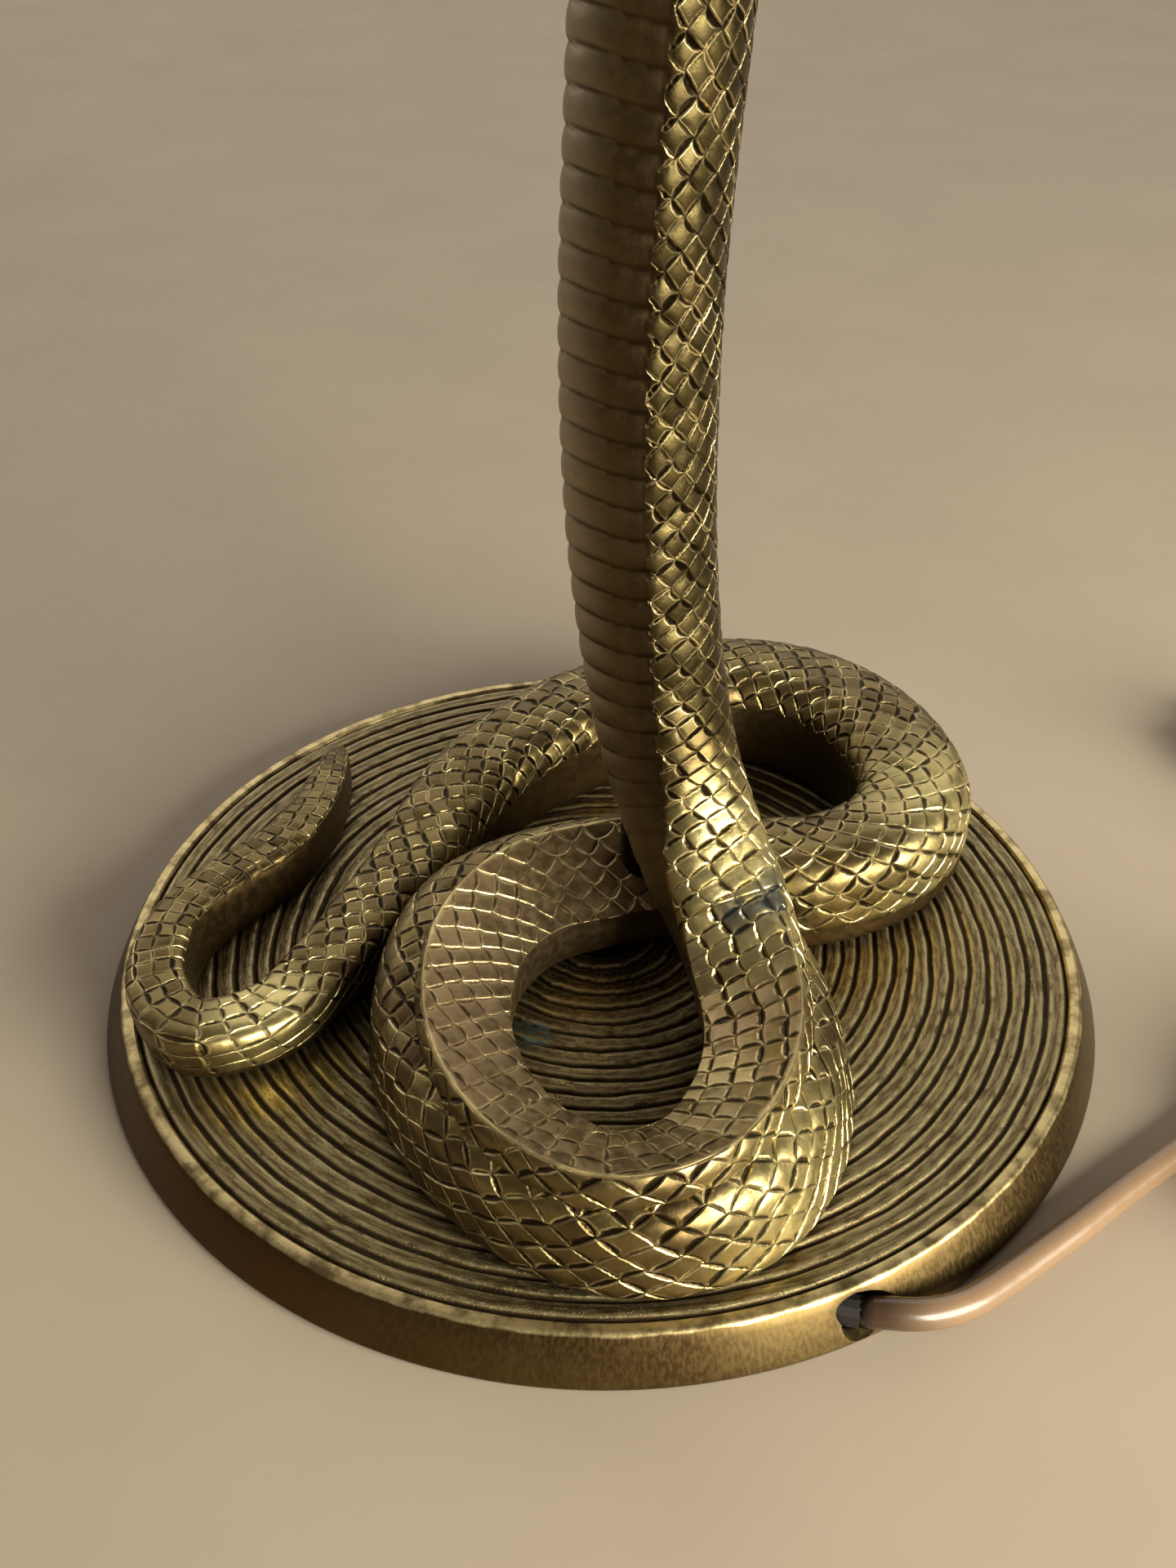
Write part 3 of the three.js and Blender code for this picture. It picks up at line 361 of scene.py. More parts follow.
def plug_pin(name, side_sign):
    """A round pin: its first half has a sleeve and is a hair thicker; the bare tip ends in an ellipse."""
    t = np.linspace(0, 1, 40)
    radius = PIN_RADIUS * np.sqrt(np.clip(1 - np.clip((t - 0.92) / 0.08, 0, 1) ** 2, 0.04, 1))
    radius = radius - SLEEVE_STEP * smooth_step(0.5, 0.52, t)
    y = PLUG_BODY_Y + PLUG_LENGTH - PIN_SUNK + (PIN_LENGTH + PIN_SUNK) * t
    return along_y(name, y, radius, radius, 2.0, 32, PLUG_X + side_sign * PIN_APART / 2)


plug_body, plug_relief = plug_pieces()
stands(plug_body, "stand", "cord_sheath", "plug_body")
stands(plug_relief, "stand", "cord_sheath", "plug_relief")
pin_left = stands(plug_pin("plug_pin_left", -1), "stand", "brass_fittings", "plug_pin_1")
pin_right = stands(plug_pin("plug_pin_right", 1), "stand", "brass_fittings", "plug_pin_2")

# %% [markdown]
# The base is a shallow cast drum. Its top has about two dozen cut rings, each a narrow groove between
# rounded ridges. The grooves wander a little, because they were cut by hand. The rows of the mesh follow
# the grooves, with more rows in them than on the ridges, so that they stay crisp.

# %% Base top
BASE_TOP = 0.0105
PLATE_EDGE = 0.10245
PLATE_UNDER = 0.008
RING_PITCH = 0.004163
GROOVE_DEPTH = 0.0008
GROOVE_WIDTH = 0.15
RIDGE_FALL = 0.0003
RING_COLUMNS = 440
RINGS = 23
CLOSER_FROM, CLOSER_TO, CLOSER_BY = 8.7, 15, 0.445
ROWS_IN_RING = np.array([0, 0.07, 0.14, 0.24, 0.5, 0.76, 0.86, 0.93])


def ring_wander(ring, angle):
    """How far a ring strays from its circle, in pitches: slow waves and small kinks that differ by ring."""
    wave = np.sin(3 * angle + 1.9 * ring) * 0.05 + np.sin(7 * angle + 2.7 * ring * ring) * 0.03
    kinks = np.sin(19 * angle + 5.1 * ring) * np.sin(4 * angle + 3 * ring) * 0.04
    return wave + kinks + np.sin(43 * angle + 7.3 * ring) * 0.015


def base_plate():
    """A disc whose height is the top, less a bell at each whole ring count and the ridges' round fall.
    Between the ninth and the fifteenth the rings are a little closer together. Each ring's tone is the
    fraction that is left of a large sine of its number, which looks random and is always the same."""
    count = (np.arange(RINGS)[:, None] + ROWS_IN_RING[None, :]).reshape(-1, 1)
    angle = np.linspace(np.pi / 2, 2.5 * np.pi, RING_COLUMNS + 1)[None, :]
    whole = np.floor(count)
    mixed = smooth_step(0, 1, count - whole)
    wander = ring_wander(whole, angle) * (1 - mixed) + ring_wander(whole + 1, angle) * mixed
    wander = wander * smooth_step(0, 1.5, count)
    crowded = CLOSER_BY * smooth_step(CLOSER_FROM, CLOSER_TO, count)
    radius = PLATE_EDGE - RING_PITCH * (count - crowded + wander)
    away = np.abs(count - np.round(count)) + 0 * angle
    groove = bell(away, GROOVE_WIDTH)
    cut_depth = GROOVE_DEPTH * (1 + 0.12 * np.sin(2 * angle + whole) + 0.1 * np.sin(9 * angle + 2 * whole))
    height = BASE_TOP - cut_depth * groove - RIDGE_FALL * (2 * away) ** 4 * (1 - groove)
    top = np.stack([radius * np.cos(angle), radius * np.sin(angle), height], axis=2)
    under = top[[-1, 0]] * [1, 1, 0] + [0, 0, PLATE_UNDER]
    points = np.concatenate([under, top])
    flat = np.ones((2, RING_COLUMNS + 1))
    tone = np.concatenate([flat, (np.sin(whole * 12.9) * 43.7 % 1) + 0 * angle])
    layers = {"recess": np.concatenate([flat, groove])[:, :-1], "tone": tone[:, :-1]}
    uv = np.stack([0.05 * angle + 0 * points[:, :, 0], np.hypot(points[:, :, 0], points[:, :, 1])], axis=2)
    return skin("base_ringed_top", points[:, :-1], uv=uv, layers=layers)


base_top = stands(base_plate(), "stand", "bronze")

# %% [markdown]
# The wall under the rings was left smooth and brushed. It leans out a little to the foot, has a soft bevel
# at the rim, and the cord's hole goes through it at a slant. The hole is cut with a boolean, because it
# meets a curved wall at an angle, which a grid can't follow cleanly. Two bars cut it: a slanted one for the
# cord, and one square to the wall, which flares outside and leaves the worn chamfer.

# %% Base wall
WALL_PROFILE = MM * np.array([
    (101.8, 8.4), (102.45, 9.5), (102.8, 10.1), (103.2, 10.5), (104.6, 10.55), (105.2, 10.4), (105.6, 10),
    (106.6, 8.2), (107.9, 5.8), (109, 3.4), (109.7, 1.8), (109.95, 1.1), (109.8, 0.6), (109.3, 0.4),
    (105.6, 0.4), (105, 0.9), (105, 6.2), (102, 8.2),
])
BORE_AT, HOLE_RADIUS = HOLE_AT + np.array([0, 0, 0.0007]), 0.0039
WALL_TURN = np.radians(-64.3)
MOUTH_AT = np.array([0.0473, -0.0983, 0.0056])
MOUTH_RADIUS, CHAMFER_FROM, CHAMFER_FLARE = 0.0038, -0.0011, 0.0006
HOLE_CREASE = np.radians(35)
WALL_COLUMNS, FELT_COLUMNS, BORE_SIDES = 512, 160, 48


def drilled(wall, name, place, turned_by, along, radius):
    """Cuts a round bar out of the wall: along gives the bar's stations and radius its radius there."""
    heading = np.array([np.cos(turned_by), np.sin(turned_by), 0])
    bar = tube(name, place + heading * along[:, None], radius, BORE_SIDES)
    cut = wall.modifiers.new(name, "BOOLEAN")
    cut.operation = "DIFFERENCE"
    cut.solver = "EXACT"
    cut.object = bar
    result = bpy.data.meshes.new_from_object(wall.evaluated_get(bpy.context.evaluated_depsgraph_get()))
    wall.modifiers.clear()
    wall.data = result
    bpy.data.objects.remove(bar)
    result.set_sharp_from_angle(angle=HOLE_CREASE)
    print(name, "leaves", len(result.polygons), "faces")


def drilled_wall():
    """The turned wall less a slanted bar for the cord and a square-on bore that flares at the face."""
    wall = turned("base_wall", WALL_PROFILE, WALL_COLUMNS, (0, 0), ring=True)
    drilled(wall, "slanted_bore", BORE_AT, HOLE_TURN, np.array([-0.016, -0.004, 0.0062, 0.018]),
            HOLE_RADIUS + np.array([0, 0, 0, 0.0004]))
    drilled(wall, "mouth_bore", MOUTH_AT, WALL_TURN, np.array([-0.014, CHAMFER_FROM, 0.0006, 0.004]),
            MOUTH_RADIUS + CHAMFER_FLARE * np.array([0, 0, 1.4, 1.4]))
    return wall


base_wall = stands(drilled_wall(), "stand", "bronze", "base_casting")
FELT_PROFILE = eased(MM * np.array([(1, 0), (104.2, 0), (104.2, 0.6), (1, 0.6)]), 0.0002, ring=True)
felt = turned("felt_pad_round", FELT_PROFILE, FELT_COLUMNS, (0, 0), ring=True)
stands(felt, "stand", "felt", "felt_pad")

# %% [markdown]
# The snake's scales were cut into the casting with a chisel: two families of lines cross and leave
# plates between them. Two numbers count the lines along and across the body. Where both families run
# slantwise the scales are diamonds, and where they run straight the scales are squares. The same two
# numbers are kept as the piece's UV map, so that the finish can follow every scale. A plan gives, for every
# place along a body, the scales' length, width and slant, the low and high angle round the body between
# which there are scales, the depth of their relief and the step up to them from the plain skin.


# %% Scales
def line_counts(run, arc, plan, start):
    """Line counts a and b: a grows by run over length plus slant times arc over width, and b by arc over
    width less slant times run over length. Both begin at the place where the run is start."""
    reach = np.sqrt(1 + plan["slant"] ** 2)
    step = np.gradient(run) / (plan["length"] * reach)
    k = np.searchsorted(run, start)
    ahead, slanted = np.cumsum(step), np.cumsum(step * plan["slant"])
    ahead, slanted = (ahead - ahead[k])[:, None], (slanted - slanted[k])[:, None]
    across = arc / (plan["width"] * reach)[:, None]
    a = ahead + plan["slant"][:, None] * across
    b = across - slanted
    return a + 0.05 * np.sin(2.3 * a + 1.1 * b), b + 0.05 * np.sin(2.9 * a - 0.8 * b + 1)


def scale_height(a, b, plan):
    """Height of the plates from about -1 to 1: a tilt up to the tail-side edges, a low crown, and broad
    valleys in which the finish cuts the crisp strokes."""
    fa, fb = a - np.floor(a), b - np.floor(b)
    edge = np.minimum(np.minimum(fa, 1 - fa), np.minimum(fb, 1 - fb))
    slant = plan["slant"][:, None]
    tilt = (1 - fa) * (1 - 0.6 * slant) + fb * 0.6 * slant - 0.5
    crown = 0.15 * np.sin(np.pi * fa) * np.sin(np.pi * fb)
    return 0.8 * tilt + crown - 0.35 * bell(edge, 0.13)


def scale_zone(a, b, angle, arc, plan):
    """1 where scales are cut. The limit is an angle round the body, moved a little of the way to each
    scale's own centre, so that the border is slightly jagged, as cuts made one by one are."""
    slant = plan["slant"][:, None]
    to_centre = (0.5 - (b - np.floor(b))) + slant * (0.5 - (a - np.floor(a)))
    shift = to_centre * (plan["width"] / np.sqrt(1 + plan["slant"] ** 2))[:, None]
    turn_per_arc = np.gradient(angle, axis=1) / np.maximum(np.gradient(arc, axis=1), 1e-6)
    seen = angle + 0.15 * shift * turn_per_arc
    soft = np.radians(1.2)
    rise = smooth_step(-soft, soft, seen - plan["low"][:, None])
    return rise * smooth_step(-soft, soft, plan["high"][:, None] - seen)


def arc_from(across, up, start):
    """Distance round each section from its own start column, by adding up the chords."""
    chord = np.hypot(np.diff(across, axis=1), np.diff(up, axis=1))
    arc = np.concatenate([np.zeros((len(across), 1)), np.cumsum(chord, axis=1)], axis=1)
    return arc - arc[:, start : start + 1]


def along_run(run, *pairs):
    """A value that changes along the body: pairs of distance in mm and value, softened between."""
    x, y = zip(*pairs)
    return soften(np.interp(run / MM, x, y), 12)


def between_points(knot, values, reach=10):
    """Values given at a route's own points, read between them at every place along it, and softened."""
    return soften(np.interp(knot, np.arange(len(values)), values), reach)[:, None]


def swept(centres, side, up_dir, across, up):
    """Points of a body: each centre plus across times its side and up times its upward direction."""
    return centres[:, None] + side[:, None] * across[:, :, None] + up_dir[:, None] * up[:, :, None]


# %% [markdown]
# The tail, its loops and the lower ring lie on the base. Their section is a round-backed shape with a square
# foot: a superellipse, which is an oval at the power of two and comes closer to a rectangle as the power
# grows. Each row of a route gives a place, a width and a height.

# %% Lying bodies
TAIL_ROUTE = MM * np.array([
    [-68.3, 65, 2.6, 3], [-67.8, 57.6, 6.8, 7.5], [-67.6, 44.6, 9.8, 10], [-69.2, 30.4, 12, 11],
    [-73.6, 17, 13, 11.8], [-82.2, 5.5, 13, 12], [-89.4, -5.8, 12.4, 12.2], [-92.6, -18.3, 12, 12.4],
    [-89.9, -31.4, 13.2, 12.6], [-81.8, -40.2, 14.5, 12.8], [-69, -36, 15, 13.2], [-60.5, -23.1, 15.8, 14],
    [-51.5, -5.6, 16.6, 15.5], [-43.6, 10.9, 17.8, 17.5], [-35.6, 28.8, 19.8, 19.5], [-22.6, 47.9, 23, 22],
    [-4.5, 64.4, 26, 23.5], [16, 73.6, 27.2, 24.5], [35.5, 77.2, 28, 25.2], [50, 72.8, 28.6, 25.4],
    [62, 62.5, 28.4, 25.2], [70.6, 46, 27.6, 24.8], [72.3, 29, 26.6, 24.2], [64.2, 14.8, 25, 23.6],
    [49, 6, 24.6, 23.2], [33.5, 4.5, 24.5, 22.8],
])
TAIL_LEAN = [0, 0, -0.05, -0.1, -0.12, -0.15, -0.15, -0.12, -0.15, -0.2, -0.22, -0.2, -0.15, -0.1] + [0] * 12
LOWER_RING_ROUTE = MM * np.array([
    [33.5, 4.5, 24.5, 22.8], [16, 6, 24.5, 22], [-2, 6, 24.5, 22], [-18, 1, 24.5, 22], [-29.5, -9, 24.5, 22],
    [-35, -25, 24.5, 22], [-35, -43, 24.5, 22], [-29.8, -59, 24.5, 22], [-20.5, -73, 24.5, 22],
    [-6, -84.5, 24.5, 22], [10, -88, 24.5, 22], [25, -82, 24.5, 22], [34.6, -69, 24.5, 22],
    [38.8, -52, 24.5, 22], [38.4, -35, 24.5, 22], [33.5, -17, 24.5, 22],
])
RING_LEAN = [0, 0, 0.05, 0.1, 0.12, 0.12, 0.12, 0.12, 0.1, 0.1, 0.12, 0.2, 0.28, 0.32, 0.32, 0.3]
BODY_FOOT = 0.0108
BODY_COLUMNS = 128
BODY_STEP = 0.00062
FOOT_POWER = 8.0
UP = np.array([0.0, 0.0, 1.0])


def superellipse(half_width, half_height, angle, power):
    """Places across and up at each angle: the radius is (|cos|/w)^n + (|sin|/h)^n to the power -1/n."""
    reach_across = np.abs(np.cos(angle)) / half_width
    reach_up = np.abs(np.sin(angle)) / half_height
    radius = (reach_across**power + reach_up**power) ** (-1 / power)
    return radius * np.cos(angle), radius * np.sin(angle)


def lying_body(name, route, lean, plan_for):
    """Carries the lying section along a flat route and cuts the scales that plan_for gives into it."""
    places, run, knot = curve_through(route[:, :3] * [1, 1, 0], BODY_STEP)
    width, height, lean = (between_points(knot, values) for values in (route[:, 2], route[:, 3], lean))
    side = np.cross(unit(np.gradient(places, axis=0)), UP)
    angle = np.linspace(-np.pi / 2, 1.5 * np.pi, BODY_COLUMNS + 1)[None, :] + 0 * width
    plan = plan_for(run)
    upper_power = np.where(np.cos(angle) > 0, plan["outer"][:, None], plan["inner"][:, None])
    power = np.where(np.sin(angle) <= 0, FOOT_POWER, upper_power)
    across, up = superellipse(width / 2, height / 2, angle, power)
    across = across - lean * (up + height / 2)
    centres = places + (BODY_FOOT + height / 2) * UP
    arc = arc_from(across, up, BODY_COLUMNS // 2)
    a, b = line_counts(run, arc, plan, run[0])
    zone = scale_zone(a, b, angle, arc, plan)
    plain = swept(centres, side, np.broadcast_to(UP, side.shape), across[:, :-1], up[:, :-1])
    lift = zone * (plan["depth"][:, None] * scale_height(a, b, plan) + plan["step"][:, None])
    points = plain + outward_normals(plain) * lift[:, :-1, None]
    return skin(name, points, uv=np.stack([a, b], axis=2), layers={"scaled": zone[:, :-1]})


# %% [markdown]
# Each body has its own plan of scales. A row (30, 3.4) means: 30 mm along the body the value is 3.4, and
# between two rows it changes evenly.

# %% Tail, loops and lower ring
def tail_plan(run):
    """Scales of the tail and loops: small squares at the tip, diamonds on the loops."""
    return {
        "length": MM * along_run(run, (0, 2.4), (30, 3.4), (110, 3.9), (170, 4.1), (230, 4.8), (300, 4.7)),
        "width": MM * along_run(run, (0, 2), (30, 3.2), (110, 3.7), (170, 4), (230, 4.5), (300, 4.3)),
        "slant": along_run(run, (0, 0.05), (120, 0.1), (145, 0.7), (185, 0.9), (225, 0.35), (280, 0.1),
                           (315, 1)),
        "low": np.radians(along_run(run, (0, -30), (170, -25), (215, 10), (250, 20), (430, 25))),
        "high": np.radians(along_run(run, (0, 142), (150, 138), (185, 138), (215, 160), (250, 200),
                                     (430, 203))),
        "outer": along_run(run, (0, 3.1), (60, 3.6), (120, 4), (200, 3.6), (240, 3.08), (430, 3.08)),
        "inner": along_run(run, (0, 3), (30, 5), (200, 5), (260, 3.6), (300, 2.9), (430, 2.9)),
        "depth": MM * along_run(run, (0, 0.1), (20, 0.2), (120, 0.26), (200, 0.36), (430, 0.45)),
        "step": MM * along_run(run, (0, 0), (25, 0.2), (430, 0.3)),
    }


def ring_plan(run):
    """Scales of the lower ring: diamonds on its outer side, down to the foot."""
    return {
        "length": MM * along_run(run, (0, 4.6), (300, 4.6)),
        "width": MM * along_run(run, (0, 4.2), (300, 4.1)),
        "slant": along_run(run, (0, 0.8), (70, 0.5), (120, 0.45), (165, 0.9), (190, 1), (300, 1)),
        "low": np.radians(along_run(run, (0, -38), (300, -38))),
        "high": np.radians(along_run(run, (0, 120), (300, 120))),
        "outer": along_run(run, (0, 3.08), (300, 3.08)),
        "inner": along_run(run, (0, 1.9), (300, 1.9)),
        "depth": MM * along_run(run, (0, 0.42), (300, 0.45)),
        "step": MM * along_run(run, (0, 0.2), (300, 0.2)),
    }


tail = lying_body("snake_tail_and_loops", TAIL_ROUTE, TAIL_LEAN, tail_plan)
stands(tail, "stand", "bronze", "snake_tail_casting")
lower_ring = lying_body("snake_lower_ring", LOWER_RING_ROUTE, RING_LEAN, ring_plan)
stands(lower_ring, "stand", "bronze", "snake_coil_casting")

# %% [markdown]
# The upper ring has a flat top that leans inwards and meets the outer side in a crisp edge. Further along it
# grows round and climbs into the column, and the smooth belly swings towards the front. It is one sweep,
# so that the scales run on from the ring to the column. Its section is a superellipse that a straight line
# cuts off at the top, and one column of the mesh lies exactly on the edge that this leaves.

# %% Upper ring and column
UPPER_ROUTE = MM * np.array([
    [16, 2, 26, 20, 24], [0, -2, 25.5, 21, 25], [-15, -9, 25.5, 20.5, 25.5], [-25, -24, 25.5, 19.5, 25.5],
    [-27.5, -43, 25.5, 19, 25.5], [-23.5, -62, 25.5, 18.5, 25.5], [-13, -78, 25.5, 18, 25.5],
    [2, -86.5, 25.8, 17.5, 25.5], [17, -81.5, 26, 18.5, 25.5], [26.5, -68, 26.5, 20, 25.5],
    [30.5, -52, 27.5, 21, 25], [29.5, -37, 30, 22, 24.5], [25.9, -24.3, 36, 23.6, 25],
    [19.6, -13.3, 46, 25.2, 26.5], [14.2, -5.2, 59, 26, 27.2], [10.4, -1, 75, 26.2, 27.2],
    [7.9, 0.5, 92, 26.4, 27.4], [6, 1, 112, 26.8, 27.4], [5.1, 1, 135, 27, 27.6], [5.1, 1, 160, 27, 27.6],
    [6.2, 1, 185, 27.2, 28], [7.6, 1, 212, 28, 28.6], [8.4, 1, 240, 29.4, 29.6], [8.5, 1, 266, 30.5, 30.5],
    [8.5, 1, 290, 31, 31],
])
BAND_EDGE_RISE = 0.0123
BAND_LEAN = [(0, 0.65), (70, 0.5), (126, 0.36), (175, 0.47), (600, 0.5)]
BELLY_TURN = np.radians(22)
RING_POWER, COLUMN_POWER = 4.0, 2.105
CLIMB_FROM = 0.185
SIDE_COLUMNS, BAND_COLUMNS, INNER_COLUMNS = 60, 50, 48


def corner_angles(width, height, lean):
    """The angles at which the flat top meets the outer and the inner side: the first and the last angle
    at which the section would rise above the top."""
    trial = np.linspace(0, np.pi, 481)[None, :]
    across, up = superellipse(width / 2, height / 2, trial, RING_POWER)
    above = up > BAND_EDGE_RISE - lean * (width / 2 - across)
    return trial[0, np.argmax(above, axis=1)], np.pi - trial[0, np.argmax(above[:, ::-1], axis=1)]


def upper_body():
    """Centres, frames and sections of the whole sweep; the flat top is a straight cut through them."""
    places, run, knot = curve_through(UPPER_ROUTE[:, :3], BODY_STEP)
    width, height = (between_points(knot, values) for values in (UPPER_ROUTE[:, 3], UPPER_ROUTE[:, 4]))
    lean = along_run(run, *BAND_LEAN)[:, None]
    along = unit(np.gradient(places, axis=0))
    side = carried_sides(along, np.cross(along[0], UP))
    up_dir = np.cross(side, along)
    swing = BELLY_TURN * smooth_step(CLIMB_FROM, 0.3, run)[:, None]
    swung_side = side * np.cos(swing) - up_dir * np.sin(swing)
    swung_up = up_dir * np.cos(swing) + side * np.sin(swing)
    edge, inner = (soften(corner, 12)[:, None] for corner in corner_angles(width, height, lean))
    below = np.linspace(0, 1, SIDE_COLUMNS + 1)[None, :-1]
    beyond = np.linspace(0, 1, BAND_COLUMNS + 1)[None, :-1]
    inside = np.linspace(0, 1, INNER_COLUMNS + 1)[None, :]
    angle = np.concatenate([
        -np.pi / 2 + (edge + np.pi / 2) * below,
        edge + (inner - edge) * beyond,
        inner + (1.5 * np.pi - inner) * inside,
    ], axis=1)
    roundness = smooth_step(CLIMB_FROM, 0.245, run)[:, None]
    power = RING_POWER + (COLUMN_POWER - RING_POWER) * roundness
    across, up = superellipse(width / 2, height / 2, angle, power)
    top = BAND_EDGE_RISE - lean * (width / 2 - across) + roundness * height
    up = np.minimum(up, top)
    return swept(places, swung_side, swung_up, across, up), run, across, up, angle, inner


plain, run, across, up, angle, inner = upper_body()
print("the sweep is", round(run[-1], 3), "m long")

# %% [markdown]
# The scales above and below the edge are cut on two plans, which become one where the edge dies away. The
# belly has no scales but broad plates, like a real snake's.

# %% Plans of the sweep
BELLY_PITCH, BELLY_SWAY = 0.0062, 0.26


def on_column(run):
    """Rises from 0 on the ring to 1 on the column, where one plan of scales takes over."""
    return smooth_step(CLIMB_FROM, 0.24, run)


def on_belly(run):
    """Rises from 0 at the foot of the column to 1 where the belly's plates are full."""
    return smooth_step(0.2, 0.26, run)[:, None]


def band_plan(run, inner):
    """Scales of the flat band and, past it, of the whole column: squares first, long diamonds above."""
    mixed = on_column(run)
    return {
        "length": MM * along_run(run, (0, 4.8), (70, 4.4), (140, 4.6), (185, 5.2), (240, 4.4), (310, 4.3),
                                 (600, 4.7)),
        "width": MM * along_run(run, (0, 4.8), (140, 4.7), (185, 5.4), (250, 5), (310, 3.7), (600, 4)),
        "slant": along_run(run, (0, 0.8), (75, 0.65), (112, 0.2), (185, 0.12), (206, 0.3), (265, 0.6),
                           (310, 1)),
        "low": np.radians(along_run(run, (0, -62), (185, -62), (240, -118), (600, -124))),
        "high": (inner + 0.02) * (1 - mixed) + np.radians(123) * mixed,
        "depth": MM * along_run(run, (0, 0.16), (170, 0.22), (215, 0.4), (300, 0.5)),
        "step": MM * along_run(run, (0, 0.05), (185, 0.05), (240, 0.6), (300, 0.8)),
    }


def side_plan(run, inner):
    """Scales of the upper ring's outer side: the band's plan past the ring, and diamonds before it."""
    plan = band_plan(run, inner)
    mixed = on_column(run)
    own = {"length": 0.0046, "width": 0.0041, "slant": 1.0, "depth": 0.00045}
    plan.update({key: value * (1 - mixed) + plan[key] * mixed for key, value in own.items()})
    return plan


def belly_plates(run, angle):
    """Broad plates across the belly: each swells by a sine, falls slowly, and ends in a low step towards
    the tail. A plate's middle hangs a little lower than its two ends."""
    count = run[:, None] / BELLY_PITCH + BELLY_SWAY * smooth_step(0, 1.05, np.abs(angle - np.pi))
    part = count - np.floor(count)
    plate = 0.3 * (1 - part) + 0.4 * np.sin(np.pi * part) - 0.5 * bell(part, 0.07) - 0.25 * part**8
    return 0.8 * MM * plate * on_belly(run), count


# %% [markdown]
# Now the relief is put on the plain sweep. The mesh also carries what the finish needs to know at every
# point: where scales are cut, where the rim is worn, where the two castings were brazed together, where a
# plate of the belly ends, and where the belly gets painted shade and painted light. The sweep is then split
# into two meshes at the joint.

# %% Relief of the sweep
RIM_HEIGHT, RIM_WIDTH = 0.00008, 0.0007
BAND_CUT = [(0, 0.7), (135, 0.75), (165, 1), (600, 1)]
BRAZE_AT, BRAZE_WIDTH = 0.206, 0.006
ONE_PLAN_FROM = 0.246

arc = arc_from(across, up, SIDE_COLUMNS)
on_band = (np.arange(angle.shape[1]) >= SIDE_COLUMNS)[None, :]
counts, lifts, zones = [], [], []
for plan in (side_plan(run, inner[:, 0]), band_plan(run, inner[:, 0])):
    a, b = line_counts(run, arc, plan, ONE_PLAN_FROM)
    zone = scale_zone(a, b, angle, arc, plan)
    counts.append(np.stack([a, b], axis=2))
    zones.append(zone)
    lifts.append(zone * (plan["depth"][:, None] * scale_height(a, b, plan) + plan["step"][:, None]))
pattern = np.where(on_band[:, :, None], counts[1], counts[0])
zone = np.where(on_band, zones[1], zones[0])
lift = np.where(on_band, lifts[1], lifts[0])
flatness = 1 - smooth_step(CLIMB_FROM, 0.235, run)[:, None]
cut = np.where(on_band, along_run(run, *BAND_CUT)[:, None], 1)
rim = bell(arc, RIM_WIDTH) * (1 - smooth_step(0.19, 0.225, run))[:, None]
belly_lift, belly_count = belly_plates(run, angle)
lift = lift * (1 - rim) + (1 - zone) * belly_lift + RIM_HEIGHT * rim
worn_rim = np.maximum(rim, bell(angle - inner, 0.04) * flatness * 0.6)
dressed = plain[:, :-1] + outward_normals(plain[:, :-1]) * lift[:, :-1, None]
braze = bell(run - BRAZE_AT + 0.002, BRAZE_WIDTH)[:, None] + 0 * rim
# Painted shade: the belly is darkened towards its borders with the scales.
belly_painted_shade = smooth_step(0.35, 0.95, np.abs(angle - np.pi)) * smooth_step(0.19, 0.25, run)[:, None]
belly_line = bell(belly_count - np.floor(belly_count), 0.1) * on_belly(run)
# Painted light: a paler strip on the belly's left side, in place of a reflection.
belly_painted_light = smooth_step(2.6, 3.42, angle) * on_belly(run) * (1 - smooth_step(0.4, 0.47, run))[:, None]
split = int(np.searchsorted(run, BRAZE_AT))


def stretch(name, rows):
    """One stretch of the sweep as its own mesh, with the numbers that the whole sweep gives it."""
    values = {
        "scaled": zone * cut * (1 - smooth_step(0.5, 0.9, rim)),
        "rim": worn_rim,
        "braze": braze,
        "belly_line": belly_line * (1 - zone),
        "belly_painted_shade": belly_painted_shade * (1 - zone),
        "belly_painted_light": belly_painted_light * (1 - zone),
        # Painted light on the flat band, and painted shade on the upright scales from the column up.
        "band": on_band * flatness,
        "raised": smooth_step(0.2, 0.27, run)[:, None] + 0 * zone,
    }
    layers = {key: value[rows, :-1] for key, value in values.items()}
    return skin(name, dressed[rows], uv=pattern[rows], layers=layers)


upper_ring = stands(stretch("snake_upper_ring", slice(0, split + 1)), "stand", "bronze", "snake_coil_casting")
column = stands(stretch("snake_column", slice(split, None)), "stand", "bronze", "snake_column_casting")

# %% [markdown]
# Above the column the neck spreads into a hood and bends forward into the head. Neither is in the
# photograph, so both follow a plain cobra: the hood is thin at its edges and thick along the spine, with
# broad plates down its front. The head has a brow over each eye, a mouth line and two nostrils.

# %% Hood and head
BELLY_DIR = unit(np.array([-0.93, -0.37, 0]))
LATERAL = unit(np.array([-0.37, 0.93, 0]))
NECK_ROUTE = MM * np.array([
    [0, 290.6, 31, 31], [0.1, 296, 31.3, 31], [2, 305, 34, 30], [6, 319, 44, 26], [11, 336, 62, 21],
    [15.5, 354, 76, 17], [18.5, 372, 82, 15], [20.5, 390, 74, 15], [22, 404, 54, 18], [25, 416, 37, 21],
    [31, 424.5, 31, 21], [41, 428, 34, 21], [53, 426.5, 36, 19.5], [65, 422, 29, 15.5], [74, 418, 18, 11],
    [78.5, 416.2, 8, 6],
])
NECK_FROM, HEAD_ROW = run[-1], 9
NECK_STEP, SNOUT_LENGTH = 0.00085, 0.005
SPINE_WIDTH, WING_THICKNESS, WING_BEND = 0.011, 0.42, 0.0022
BELLY_HALF, BELLY_SPREAD = 0.0154, 0.0036
EYE_FRONT, EYE_HEIGHT, EYE_ASIDE, EYE_RADIUS = 0.057, 0.4295, 0.0143, 0.0024
